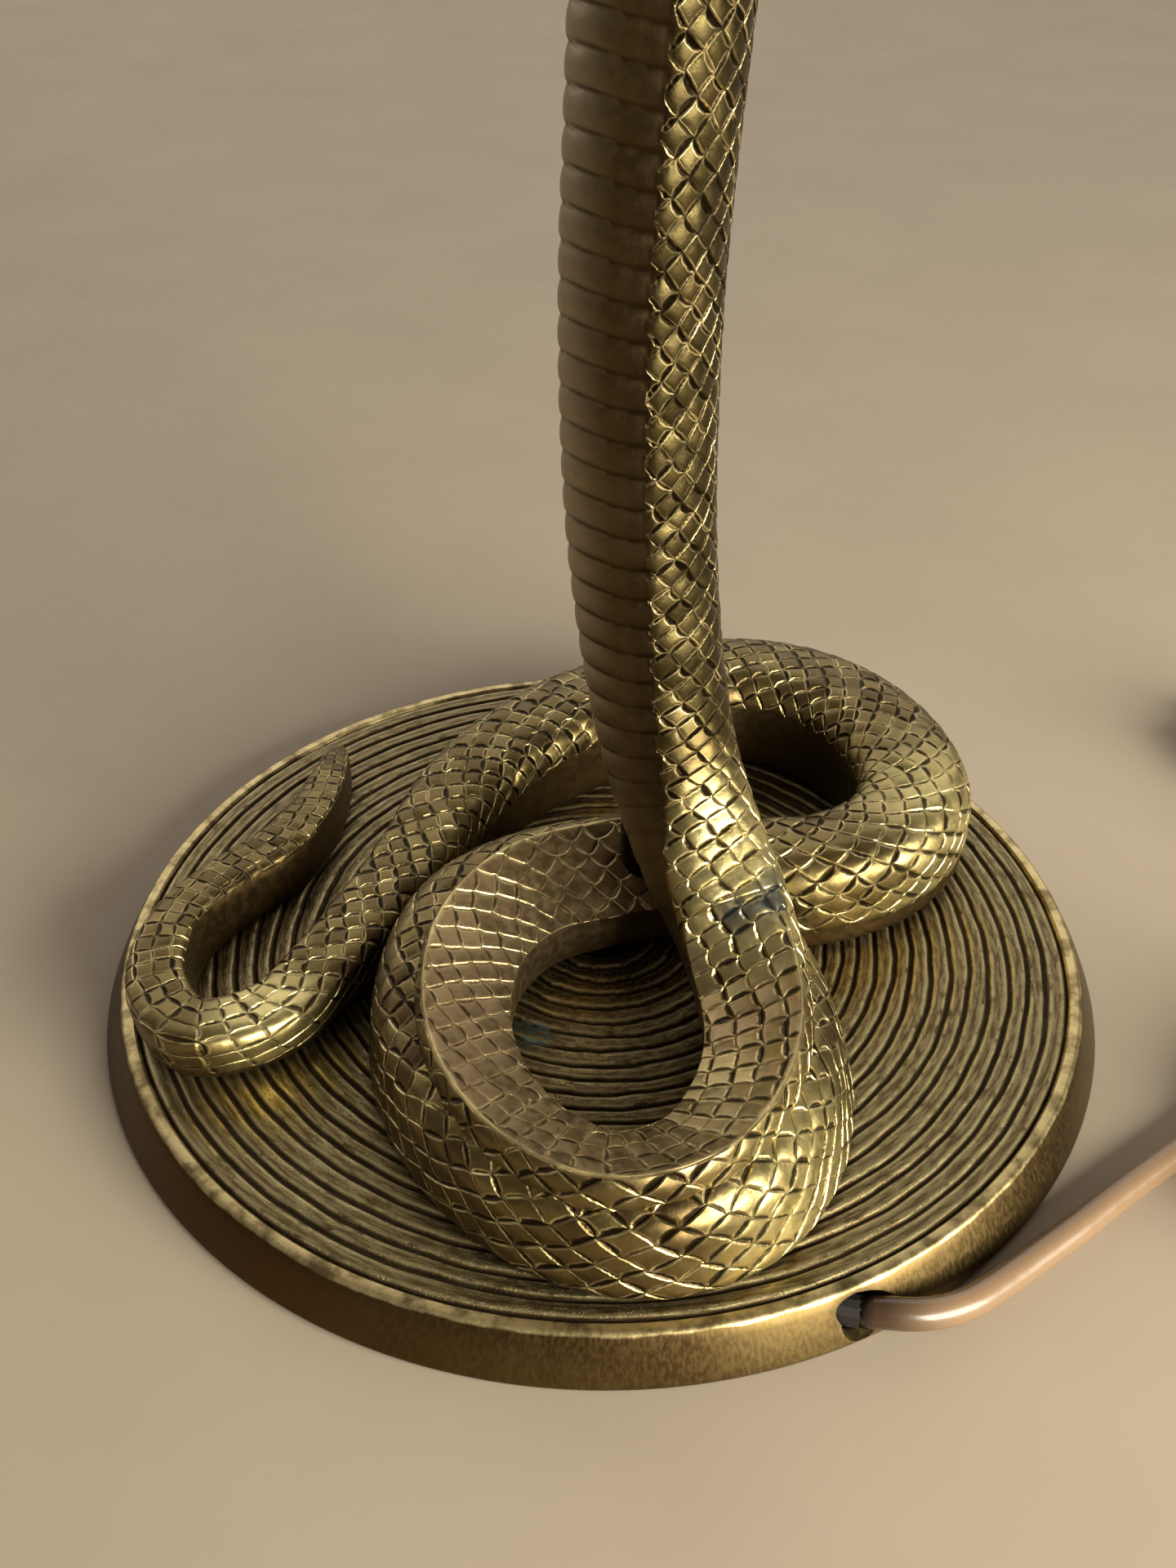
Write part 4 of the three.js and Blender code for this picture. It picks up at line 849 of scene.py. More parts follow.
LIPS_FRONT, LIPS_HEIGHT, LIPS_RISE = 0.0785, 0.4152, 0.26
NOSTRIL_FRONT, NOSTRIL_HEIGHT, NOSTRIL_ASIDE, NOSTRIL_RADIUS = 0.0755, 0.4204, 0.0044, 0.0009
NECK_COLUMNS, EYE_COLUMNS = 208, 40


def neck_section(width, thickness, angle, is_head):
    """An oval whose wings are thinned and bent forward on the hood, and whose lower half is squarer on
    the head: half the thickness times the sine, with the sine's power falling from 1 to 0.7."""
    flare = smooth_step(0.04, 0.075, width)
    across = width / 2 * np.cos(angle)
    sine_power = np.where(np.sin(angle) < 0, 1 - 0.3 * is_head, 1)
    upward = thickness / 2 * np.sign(np.sin(angle)) * np.abs(np.sin(angle)) ** sine_power
    thickness_left = WING_THICKNESS + (1 - WING_THICKNESS) * bell(across, SPINE_WIDTH)
    thinned = 1 - flare + flare * thickness_left
    return across, upward * thinned - flare * WING_BEND * (2 * across / width) ** 2


def head_features(points):
    """Lift of brows, eye sockets, nostrils and mouth line, each a bell of the distance to its own line."""
    front = (points - PIPE_AT) @ BELLY_DIR
    aside = np.abs((points - PIPE_AT) @ LATERAL)
    height = points[..., 2]
    to_brow = np.hypot((front - EYE_FRONT) / 1.8, height - EYE_HEIGHT - 0.003)
    to_eye = np.hypot(front - EYE_FRONT, height - EYE_HEIGHT)
    on_side = smooth_step(0.007, 0.011, aside)
    lips_height = LIPS_HEIGHT + (LIPS_FRONT - front) * LIPS_RISE
    mouth = bell(height - lips_height, 0.0006) * smooth_step(0.041, 0.046, front)
    to_nostril = np.hypot(np.hypot(front - NOSTRIL_FRONT, aside - NOSTRIL_ASIDE), height - NOSTRIL_HEIGHT)
    nostril = bell(to_nostril, NOSTRIL_RADIUS)
    ridge = bell(to_brow, 0.0028) * 1.1 - bell(to_eye, 0.0026) * 0.9
    return MM * (ridge * on_side - 0.75 * mouth - 0.9 * nostril), mouth


# %% [markdown]
# Hood and head are one sweep, like the upper ring and the column, and are split where the neck meets the
# head. The plates of the column's belly run on up the front of the hood.

# %% Sweep of the neck
def neck_body():
    """Sweeps the section up the neck, cuts scales on the back and plates on the belly, adds the head."""
    centres = PIPE_AT + BELLY_DIR * NECK_ROUTE[:, :1] + UP * NECK_ROUTE[:, 1:2]
    places, run, knot = curve_through(centres, NECK_STEP)
    width, thickness = (between_points(knot, values, 6) for values in (NECK_ROUTE[:, 2], NECK_ROUTE[:, 3]))
    to_tip = (run[-1] - run) / SNOUT_LENGTH
    snout = np.sqrt(1 - np.clip(1 - to_tip, 0, 0.97) ** 2)[:, None]
    is_head = smooth_step(HEAD_ROW - 1, HEAD_ROW + 1, knot)[:, None]
    angle = np.linspace(-np.pi / 2, 1.5 * np.pi, NECK_COLUMNS + 1)[None, :] + 0 * width
    across, up = neck_section(width * snout, thickness * snout, angle, is_head)
    side = np.broadcast_to(LATERAL, places.shape)
    up_dir = np.cross(side, unit(np.gradient(places, axis=0)))
    plan = {
        "length": MM * along_run(run, (0, 4.6), (60, 5), (130, 5), (150, 6), (220, 6.5)),
        "width": MM * along_run(run, (0, 4), (60, 5), (130, 5), (150, 5.5), (220, 5.5)),
        "slant": 1 + 0 * run,
    }
    arc = arc_from(across, up, NECK_COLUMNS // 2)
    a, b = line_counts(run, arc, plan, run[0])
    belly_half = BELLY_HALF + BELLY_SPREAD * smooth_step(0.035, 0.08, width)
    to_belly = arc[:, -1:] - np.abs(arc) - belly_half
    zone = smooth_step(0, 0.0008, to_belly + 0.0014 * (a - np.floor(a) - 0.5))
    from_belly = np.minimum(angle + np.pi / 2, 1.5 * np.pi - angle) * (1 - smooth_step(0.04, 0.06, width))
    plates, count = belly_plates(run + NECK_FROM, np.pi + from_belly)
    plain = swept(places, side, up_dir, across[:, :-1], up[:, :-1])
    features, mouth = head_features(plain)
    depth = MM * (0.5 - 0.25 * is_head)
    step = MM * along_run(run, (0, 0.8), (40, 0.4), (140, 0.3), (170, 0))[:, None]
    lift = zone * (depth * scale_height(a, b, plan) + step)
    lift = (lift + (1 - zone) * plates * (1 - is_head))[:, :-1] * snout + features
    points = plain + outward_normals(plain) * lift[:, :, None]
    line = (bell(count - np.floor(count), 0.1) * (1 - zone) * (1 - is_head))[:, :-1]
    # Painted shade on the hood's belly near the scales; the upright scales get painted shade here too.
    shade = ((1 - zone) * smooth_step(0, 0.012, belly_half + 0.001 - np.abs(to_belly + 0.008)) * 0.3)[:, :-1]
    layers = {"scaled": zone[:, :-1], "belly_line": np.maximum(line, mouth), "belly_painted_shade": shade,
              "raised": np.ones_like(line)}
    return points, np.stack([a, b], axis=2), layers, int(np.searchsorted(knot, HEAD_ROW))


def neck_piece(name, rows, node):
    """The hood or the head, cut out of the one sweep by rows."""
    layers = {key: value[rows] for key, value in neck_layers.items()}
    return stands(skin(name, neck_points[rows], neck_uv[rows], layers), "stand", "bronze", node)


neck_points, neck_uv, neck_layers, neck_split = neck_body()
hood = neck_piece("snake_hood", slice(0, neck_split + 1), "snake_hood_casting")
head = neck_piece("snake_head", slice(neck_split, None), "snake_head_casting")

# %% [markdown]
# The two eyes are balls of dark stone, set into their sockets from either side.


# %% Eyes
def snake_eye(name, side_sign):
    """A polished stone ball: the profile is half a circle round the eye's own upright axis."""
    at = PIPE_AT + BELLY_DIR * EYE_FRONT + LATERAL * side_sign * EYE_ASIDE
    t = np.linspace(-np.pi / 2 + 0.02, np.pi / 2 - 0.02, 25)
    profile = np.stack([EYE_RADIUS * np.cos(t), EYE_HEIGHT + EYE_RADIUS * np.sin(t)], axis=1)
    return turned(name, profile, EYE_COLUMNS, at)


eye_left = stands(snake_eye("eye_left", -1), "stand", "eye_stone", "snake_eye_left")
eye_right = stands(snake_eye("eye_right", 1), "stand", "eye_stone", "snake_eye_right")

# %% [markdown]
# Behind the hood a brass sleeve covers the pipe, and on it sits the lampholder: a domed cap with a rotary
# switch, a threaded shell and two rings that grip the shade. All of them are turned, and the threads and
# grips are ripples of the radius.

# %% Lampholder
SLEEVE = eased(MM * np.array([
    (5.3, 364), (7.4, 364), (7.4, 366), (6.9, 366.8), (6.9, 432), (7.5, 433.2), (7.5, 435.7), (5.3, 435.7),
]), 0.0006, ring=True)
CAP = eased(MM * np.array([
    (5.3, 440), (9, 440), (9.6, 442.2), (12, 444.5), (17, 449), (19.5, 452.5), (19.5, 455), (19, 455.6),
    (19.5, 456.2), (19.5, 462), (17.9, 462), (17.9, 453.5), (16, 450.8), (11, 446.5), (5.3, 444),
]), 0.0012, ring=True)
INSERT = eased(MM * np.array([
    (0.2, 460), (16.6, 460), (16.6, 488), (13.9, 488), (13.9, 471), (7, 471), (7, 464.5), (0.2, 464.5),
]), 0.0006)
SHELL_RADIUS, SHELL_INNER, SHELL_Z = 0.0195, 0.0169, (0.4623, 0.492)
SHELL_THREAD_PITCH, SHELL_THREAD_DEPTH = 0.0018, 0.00016


def shell_thread(radius, height, angle):
    """A fine thread: the radius dips by a cosine of the height, which turns once per pitch."""
    outside = (radius > SHELL_RADIUS - 0.0001) * smooth_step(0.464, 0.465, height)
    turns = height / SHELL_THREAD_PITCH
    return -SHELL_THREAD_DEPTH * (1 - np.cos(2 * np.pi * turns - angle)) * outside


def grips(count, depth, rim_radius):
    """Grips round a ring: the radius dips by a cosine that repeats count times round, outside only."""
    return lambda radius, height, angle: -depth * (0.5 - 0.5 * np.cos(count * angle)) * (radius > rim_radius)


def ring_profile(inner, outer, low, high):
    """A ring's rectangle with eased corners."""
    corners = np.array([(inner, low), (outer, low), (outer, high), (inner, high)])
    return eased(corners, 0.0005, ring=True)


sleeve = stands(turned("pipe_sleeve_beaded", SLEEVE, ring=True), "stand", "brass_fittings", "pipe_sleeve")
cap = stands(turned("holder_cap_domed", CAP, ring=True), "stand", "brass_fittings", "holder_cap")
insert = stands(turned("holder_insert_glazed", INSERT), "stand", "ceramic", "holder_insert")
shell_outside = [(SHELL_RADIUS, z) for z in np.linspace(*SHELL_Z, 120)]
shell_inside = [(SHELL_INNER, z) for z in reversed(SHELL_Z)]
shell = turned("holder_shell_threaded", shell_outside + shell_inside, ring=True, ripple=shell_thread)
stands(shell, "stand", "brass_fittings", "holder_shell")

RING_INNER, RING_OUTER, GRIPPED_FROM = 0.0198, 0.0245, 0.024
LOWER_RING_Z, UPPER_RING_Z = (0.4695, 0.473), (0.4756, 0.48)
fine_grips, coarse_grips = grips(60, 0.0004, GRIPPED_FROM), grips(18, 0.0006, GRIPPED_FROM)
lower_profile = ring_profile(RING_INNER, RING_OUTER, *LOWER_RING_Z)
lower_grip = turned("shade_ring_lower_milled", lower_profile, 240, ring=True, ripple=fine_grips)
stands(lower_grip, "stand", "brass_fittings", "shade_ring_lower")
upper_profile = ring_profile(RING_INNER, RING_OUTER, *UPPER_RING_Z)
upper_grip = turned("shade_ring_upper_milled", upper_profile, 216, ring=True, ripple=coarse_grips)
stands(upper_grip, "shade_ring", "brass_fittings", "shade_ring_upper")

# %% [markdown]
# The switch's key is a round hub that spreads into a flat wing for two fingers. It is the same kind of
# sweep as the plug: superellipses along the spindle, with a width and a height for each.

# %% Switch key
SWITCH_HEIGHT = 0.4568
key_reach = MM * np.array([25, 25.2, 25.6, 27.3, 27.7, 28.1, 28.6, 30, 31.4, 31.9, 32.2])
key_width = MM * np.array([2.8, 3.4, 3.6, 3.6, 4.4, 6.4, 7.3, 7.5, 7.4, 7, 6.2])
key_height = MM * np.array([2.8, 3.4, 3.6, 3.6, 3.5, 3.4, 3.45, 3.5, 3.4, 3.1, 2.6])
key_angle = np.linspace(0, 2 * np.pi, 72, endpoint=False)[None, :]
key_across, key_up = superellipse(key_width[:, None], key_height[:, None], key_angle, 2.6)
key_y = PIPE_AT[1] - key_reach[:, None] + 0 * key_angle
key_points = np.stack([PIPE_AT[0] + key_across, key_y, SWITCH_HEIGHT + key_up], axis=2)
switch_key = skin("switch_key_wing", key_points)
stands(switch_key, "switch", "dark_plastic", "switch_key")

# %% [markdown]
# The bulb is a round opal lamp bulb in a threaded metal cap. Its outline is one smooth curve through a few
# radii and heights. The cap's thread is coarse and rounded.

# %% Bulb
BULB_OUTLINE = MM * np.array([
    (11.9, 478), (12, 486), (12, 497), (15.6, 507), (21, 519), (28, 536), (30, 550), (27.5, 567), (17, 582),
    (8, 587.6), (0.3, 589),
])
BULB_STEP = 0.0012
CAP_RADIUS, CAP_SIDE_Z = 0.0133, (0.476, 0.496)
CAP_THREAD_PITCH, CAP_THREAD_DEPTH = 0.0038, 0.0003


def bulb_thread(radius, height, angle):
    """A round thread of four turns: the radius dips by a cosine of the height along the cap's side."""
    outside = (radius > CAP_RADIUS - 0.0002) * smooth_step(0.4765, 0.478, height)
    outside = outside * smooth_step(0.4955, 0.494, height)
    return -CAP_THREAD_DEPTH * (1 - np.cos(2 * np.pi * height / CAP_THREAD_PITCH - angle)) * outside


bulb_curve, _, _ = curve_through(BULB_OUTLINE[:, [0, 0, 1]] * [1, 0, 1], BULB_STEP)
bulb_glass = stands(turned("bulb_opal", bulb_curve[:, [0, 2]]), "bulb", "bulb_glass", "bulb_glass")
cap_side = [(CAP_RADIUS, z) for z in np.linspace(*CAP_SIDE_Z, 70)]
cap_outline = MM * np.array([(4, 474), (4, 472.5), (9, 472.5)])
cap_inside = MM * np.array([(12.4, 496), (12.4, 477), (8.6, 474)])
bulb_cap = turned("bulb_cap_threaded", [*cap_outline, *cap_side, *cap_inside], ring=True, ripple=bulb_thread)
stands(bulb_cap, "bulb", "bulb_metal", "bulb_cap")

# %% [markdown]
# The shade is a cone of linen that is stretched between two wire rings, with a folded tape round each
# edge and one seam at the back. Three arms carry the lower wire from a flat ring on the lampholder. The
# cloth draws in very slightly between the wires, as stretched cloth does.

# %% Shade
SHADE_LOW, SHADE_HIGH = (0.150, 0.450), (0.095, 0.650)
CLOTH, SEAM_HALF, SEAM_HEIGHT, DRAW_IN = 0.001, 0.006, 0.0004, 0.0007
WIRE_RADIUS, WIRE_GAP = 0.0016, 0.0006
slope = (SHADE_HIGH[0] - SHADE_LOW[0]) / (SHADE_HIGH[1] - SHADE_LOW[1])
slant_length = float(np.hypot(SHADE_HIGH[0] - SHADE_LOW[0], SHADE_HIGH[1] - SHADE_LOW[1]))
mean_radius = (SHADE_LOW[0] + SHADE_HIGH[0]) / 2
SHADE_ROWS, SHADE_COLUMNS, WIRE_COLUMNS = 56, 216, 180


def shade_radius(height):
    """The cone's outer radius at a height."""
    return SHADE_LOW[0] + (height - SHADE_LOW[1]) * slope


def linen_cone():
    """Outer rows go up and inner rows come down; the radius draws in by a sine between the wires. The
    UV map is the distance round the cone's middle and up its side, in millimetres."""
    t = np.concatenate([np.linspace(0, 1, SHADE_ROWS), np.linspace(1, 0, SHADE_ROWS)])[:, None]
    inside = np.repeat([0, 1], SHADE_ROWS)[:, None]
    angle = np.linspace(0, 2 * np.pi, SHADE_COLUMNS + 1)[None, :]
    height = SHADE_LOW[1] + (SHADE_HIGH[1] - SHADE_LOW[1]) * t + 0 * angle
    from_seam = np.abs(angle - np.pi / 2) * shade_radius(height)
    seam = SEAM_HEIGHT * smooth_step(SEAM_HALF + 0.001, SEAM_HALF, from_seam)
    radius = shade_radius(height) - CLOTH * inside - DRAW_IN * np.sin(np.pi * t) + seam * (1 - inside)
    x, y = PIPE_AT[0] + radius * np.cos(angle), PIPE_AT[1] + radius * np.sin(angle)
    points = np.stack([x, y, height], axis=2)[:, :-1]
    uv = np.stack([angle * mean_radius / MM + 0 * t, slant_length / MM * t + 0 * angle], axis=2)
    return skin("shade_linen_cone", points, uv, ring=True)


def edge_tape(name, height, inward):
    """A tape folded over an edge: a thin band outside, over the edge and back up inside."""
    outline = MM * np.array([
        (0.05, 9), (0.45, 9), (0.5, 0.2), (0.3, -0.45), (-1.3, -0.45), (-1.4, 0.2), (-1.35, 6), (-1.05, 6),
        (-1.05, 0), (0.05, 0),
    ])
    at = height + inward * outline[:, 1]
    profile = np.stack([shade_radius(at) + outline[:, 0], at], axis=1)
    return turned(name, profile, SHADE_COLUMNS, ring=True)


def wire_ring(name, height):
    """A round wire bent into a circle just inside the cloth."""
    radius = shade_radius(height) - CLOTH - WIRE_RADIUS - WIRE_GAP
    t = np.linspace(0, 2 * np.pi, 16, endpoint=False)
    profile = np.stack([radius + WIRE_RADIUS * np.cos(t), height + WIRE_RADIUS * np.sin(t)], axis=1)
    return turned(name, profile, WIRE_COLUMNS, ring=True)


cloth = linen_cone()
tape_low = edge_tape("shade_tape_lower", SHADE_LOW[1], 1)
tape_high = edge_tape("shade_tape_upper", SHADE_HIGH[1], -1)
wire_low = wire_ring("shade_ring_wire_lower", SHADE_LOW[1] + WIRE_RADIUS)
wire_high = wire_ring("shade_ring_wire_upper", SHADE_HIGH[1] - WIRE_RADIUS)
stands(cloth, "shade", "shade_linen", "shade_fabric")
stands(tape_low, "shade", "shade_linen")
stands(tape_high, "shade", "shade_linen")
stands(wire_low, "shade", "steel", "shade_wire_lower")
stands(wire_high, "shade", "steel", "shade_wire_upper")

# %% [markdown]
# The arms are straight rods that sag very slightly. They run from the flat ring on the lampholder down to
# the lower wire, a third of a turn apart.

# %% Fitter and arms
FITTER_OUTER, FITTER_LOW, FITTER_HIGH = 0.0255, 0.4733, 0.4753
ARM_RADIUS, ARM_FROM, ARM_SAG = 0.0015, 0.0253, 0.0008
ARM_SIDES, FIRST_ARM, ARMS = 20, 90, 3
fitter_profile = ring_profile(RING_INNER, FITTER_OUTER, FITTER_LOW, FITTER_HIGH)
fitter = turned("shade_fitter_ring", fitter_profile, ring=True)
stands(fitter, "shade", "brass_fittings", "shade_fitter")
arm_high, arm_low = (FITTER_LOW + FITTER_HIGH) / 2, SHADE_LOW[1] + WIRE_RADIUS
arm_to = shade_radius(arm_low) - CLOTH - 1.8 * WIRE_RADIUS - WIRE_GAP
arms = []
for number in range(ARMS):
    toward = np.radians(FIRST_ARM + 360 / ARMS * number)
    heading = np.array([np.cos(toward), np.sin(toward), 0])
    t = np.linspace(0, 1, 24)[:, None]
    height = arm_high + (arm_low - arm_high) * t - ARM_SAG * np.sin(np.pi * t)
    centres = PIPE_AT + heading * (ARM_FROM + (arm_to - ARM_FROM) * t) + UP * height
    arm = tube(f"shade_arm_rod_{number + 1}", centres, ARM_RADIUS, ARM_SIDES)
    arms.append(stands(arm, "shade", "brass_fittings", f"shade_arm_{number + 1}"))

# %% [markdown]
# Finishes are built from small nodes. One helper keeps a material and its nodes together, so that each
# finish below reads as a recipe: what is mixed, where, and how rough it is.

# %% Finish helper
NOISE_ROUGHNESS = 0.55
SPOT_CORE = 0.3
MIX_FACTOR, MIX_FIRST, MIX_SECOND, MIX_RESULT = 0, 6, 7, 2


class Finish:
    """A material under construction. Each method adds nodes and returns the last one's output."""

    def __init__(self, name):
        self.material = bpy.data.materials.new(name)
        self.material.use_nodes = True
        self.tree = self.material.node_tree
        self.shader = self.tree.nodes["Principled BSDF"]
        self.place = self.put("TexCoord", out="Object")

    def put(self, kind, *inputs, out=0, **settings):
        """One node: each input in turn is linked, set, or left alone where it is None."""
        node = self.tree.nodes.new("ShaderNode" + kind)
        for key, value in settings.items():
            setattr(node, key, value)
        for socket, value in enumerate(inputs):
            if isinstance(value, bpy.types.NodeSocket):
                self.tree.links.new(value, node.inputs[socket])
            elif value is not None:
                node.inputs[socket].default_value = value
        return node.outputs[out]

    def math(self, operation, *values):
        """One step of arithmetic on its values."""
        return self.put("Math", *values, operation=operation)

    def product(self, first, *others):
        """All the values multiplied together."""
        for other in others:
            first = self.math("MULTIPLY", first, other)
        return first

    def noise(self, scale, detail=3.0, stretch=None, vector=None):
        """Soft noise round a half, with scale bumps to the metre; stretch below 1 draws it out."""
        vector = vector or self.place
        if stretch:
            vector = self.put("Mapping", vector, None, None, stretch)
        return self.put("TexNoise", vector, None, scale, detail, NOISE_ROUGHNESS)

    def rise(self, value, low, high, to_low=0.0, to_high=1.0):
        """A smooth step from to_low at low to to_high at high."""
        return self.put("MapRange", value, low, high, to_low, to_high, interpolation_type="SMOOTHSTEP")

    def mix(self, factor, first, second):
        """The first colour where the factor is 0 and the second where it is 1."""
        node = self.tree.nodes.new("ShaderNodeMix")
        node.data_type = "RGBA"
        for socket, value in ((MIX_FACTOR, factor), (MIX_FIRST, first), (MIX_SECOND, second)):
            if isinstance(value, bpy.types.NodeSocket):
                self.tree.links.new(value, node.inputs[socket])
            else:
                node.inputs[socket].default_value = value if socket == MIX_FACTOR else (*value, 1)
        return node.outputs[MIX_RESULT]

    def layer(self, name):
        """A value that the mesh carries at its points."""
        return self.put("Attribute", attribute_name=name, out="Fac")

    def near(self, spot, reach):
        """1 close to a place on the piece, falling to 0 at its reach."""
        distance = self.put("VectorMath", self.place, spot, operation="DISTANCE", out="Value")
        return self.rise(distance, reach, reach * SPOT_CORE)

    def bump(self, height, distance, strength, normal=None):
        """The surface's direction, tilted as if a height of 1 stood out by that distance in metres."""
        node = self.tree.nodes.new("ShaderNodeBump")
        node.inputs["Strength"].default_value = strength
        node.inputs["Distance"].default_value = distance
        self.tree.links.new(height, node.inputs["Height"])
        if normal is not None:
            self.tree.links.new(normal, node.inputs["Normal"])
        return node.outputs["Normal"]

    def done(self, colour, roughness, normal, **constants):
        """Links colour, roughness and normal, and sets each constant on the shader's own socket."""
        for socket, value in {"Base Color": colour, "Roughness": roughness, "Normal": normal}.items():
            if isinstance(value, bpy.types.NodeSocket):
                self.tree.links.new(value, self.shader.inputs[socket])
            elif value is not None:
                self.shader.inputs[socket].default_value = value
        for key, value in constants.items():
            self.shader.inputs[key.replace("_", " ").title()].default_value = value
        return self.material


def dress(finish, *pieces):
    """Gives one material to pieces, or to frame nodes by name."""
    for piece in pieces:
        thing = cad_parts[piece] if isinstance(piece, str) else piece
        thing.data.materials.clear()
        thing.data.materials.append(finish)
    print(finish.name, "on", len(pieces), "pieces")


# %% [markdown]
# The bronze has an olive-brown patina. Hands and polishing have worn it back to gold on every raised edge,
# and dirt has stayed in the cuts. Some tones below are painted light and shade: the band is lightened, the
# upright scales and the belly's sides are darkened, the belly's left is paler, and gold patches sit where the
# lamp's gleam falls.

# %% Bronze
PATINA = (0.135, 0.097, 0.035)
DEEP_PATINA = (0.078, 0.048, 0.016)
ROSE_PATINA = (0.15, 0.094, 0.046)
# Painted light and shade among these: the band's rose is lightened as painted light, the column's olive and
# the belly's brown are painted shade, the belly's pale is painted light, the rubbed gold spots are painted
# highlights, and the dirt is also painted shade in the cord's hole and on the pipe.
BAND_ROSE_AND_LIGHT = (0.44, 0.305, 0.165)
COLUMN_OLIVE_SHADE = (0.036, 0.027, 0.009)
DIRT_AND_SHADE = (0.02, 0.011, 0.0045)
BELLY_SHADE_BROWN = (0.024, 0.014, 0.006)
WORN_GOLD = (0.84, 0.67, 0.33)
HIGHLIGHT_AND_RUBBED_GOLD = (0.8, 0.67, 0.29)
LIGHT_SCALE = (0.32, 0.245, 0.085)
PAINTED_LIGHT_PALE = (0.4, 0.32, 0.2)
BLUE_STAIN = (0.06, 0.085, 0.11)
HIGHLIGHT_AND_RUBBED_SPOTS = [
    ((0.03, -0.075, 0.016), 0.03),
    ((0.078, 0.02, 0.018), 0.034),
    ((0.034, -0.024, 0.046), 0.03),
    ((-0.066, -0.042, 0.021), 0.017),
]
BRONZE_METALLIC = 0.93


def bronze_ground(f):
    """The patina away from any cut: two slow noises over each other, and a little rose."""
    slow = f.rise(f.noise(34), 0.34, 0.68)
    fine = f.rise(f.noise(430, detail=5), 0.3, 0.72)
    ground = f.mix(slow, PATINA, DEEP_PATINA)
    return f.mix(f.product(fine, 0.35), ground, ROSE_PATINA), fine


# %% [markdown]
# Each cut between two scales is one stroke of a chisel: a narrow V whose place and width differ a little
# from stroke to stroke, and whose ends taper. The UV map counts the scale lines, so a stroke is known by
# the line it lies on and by the scale beside it.

# %% Cuts between the scales
SCALE_SIZE, SCALE_TILT = 0.0045, 0.22
STROKE_SHIFT, STROKE_BOW = 0.1, 0.045
STROKE_NARROW, STROKE_WIDE = 0.08, 0.19


def stroke(f, line_count, side_count, strength, salt):
    """Height over one family of cuts, in scale sizes: the distance to the stroke's bent middle line, less
    its half width. It is 0 at the stroke's lip, negative inside and positive outside. White noise of the
    stroke's own whole numbers gives each its own shift and width."""
    line = f.math("ROUND", line_count)
    who = f.put("CombineXYZ", line, f.math("FLOOR", side_count), salt)
    chance = f.put("TexWhiteNoise", who, noise_dimensions="3D", out="Color")
    shift, width = (f.put("SeparateXYZ", chance, out=axis) for axis in "XY")
    shift = f.rise(shift, 0.0, 1.0, -STROKE_SHIFT / 2, STROKE_SHIFT / 2)
    width = f.rise(width, 0.0, 1.0, STROKE_NARROW, STROKE_WIDE)
    along = f.math("FRACT", side_count)
    off_middle = f.math("ABSOLUTE", f.math("SUBTRACT", along, 0.5))
    taper = f.rise(off_middle, 0.5, 0.15, 0.5, 1.0)
    bow = f.rise(f.product(off_middle, off_middle), 0.0, 0.25, STROKE_BOW, -STROKE_BOW)
    bent = f.math("SUBTRACT", f.math("SUBTRACT", line_count, line), bow)
    away = f.math("ABSOLUTE", f.math("SUBTRACT", bent, shift))
    return f.math("SUBTRACT", away, f.product(width, taper, strength))


def scale_cuts(f, scaled):
    """The height of both families of cuts, and each scale's own tone and tilt. White noise of the scale's
    two whole numbers gives its tone and how much it tilts along each family of lines."""
    counts = f.put("UVMap", uv_map="pattern")
    a, b = (f.put("SeparateXYZ", counts, out=axis) for axis in "XY")
    ragged = f.product(f.math("SUBTRACT", f.noise(800), 0.5), 0.06)
    a, b = f.math("ADD", a, ragged), f.math("SUBTRACT", b, ragged)
    lip = f.math("MINIMUM", stroke(f, a, b, scaled, 0.0), stroke(f, b, a, scaled, 7.0))
    cell = f.put("CombineXYZ", f.math("FLOOR", a), f.math("FLOOR", b), 3.0)
    chance = f.put("TexWhiteNoise", cell, noise_dimensions="3D", out="Color")
    tone, tilt_a, tilt_b = (f.put("SeparateXYZ", chance, out=axis) for axis in "XYZ")
    tilt_a = f.product(f.math("SUBTRACT", tilt_a, 0.5), f.math("SUBTRACT", f.math("FRACT", a), 0.5))
    tilt_b = f.product(f.math("SUBTRACT", tilt_b, 0.5), f.math("SUBTRACT", f.math("FRACT", b), 0.5))
    return lip, tone, f.product(f.math("ADD", tilt_a, tilt_b), scaled, SCALE_TILT)


# %% [markdown]
# The finish of every casting with scales puts the two together: the patina as the ground, and the cuts,
# the worn edges and the dirt on top of it.

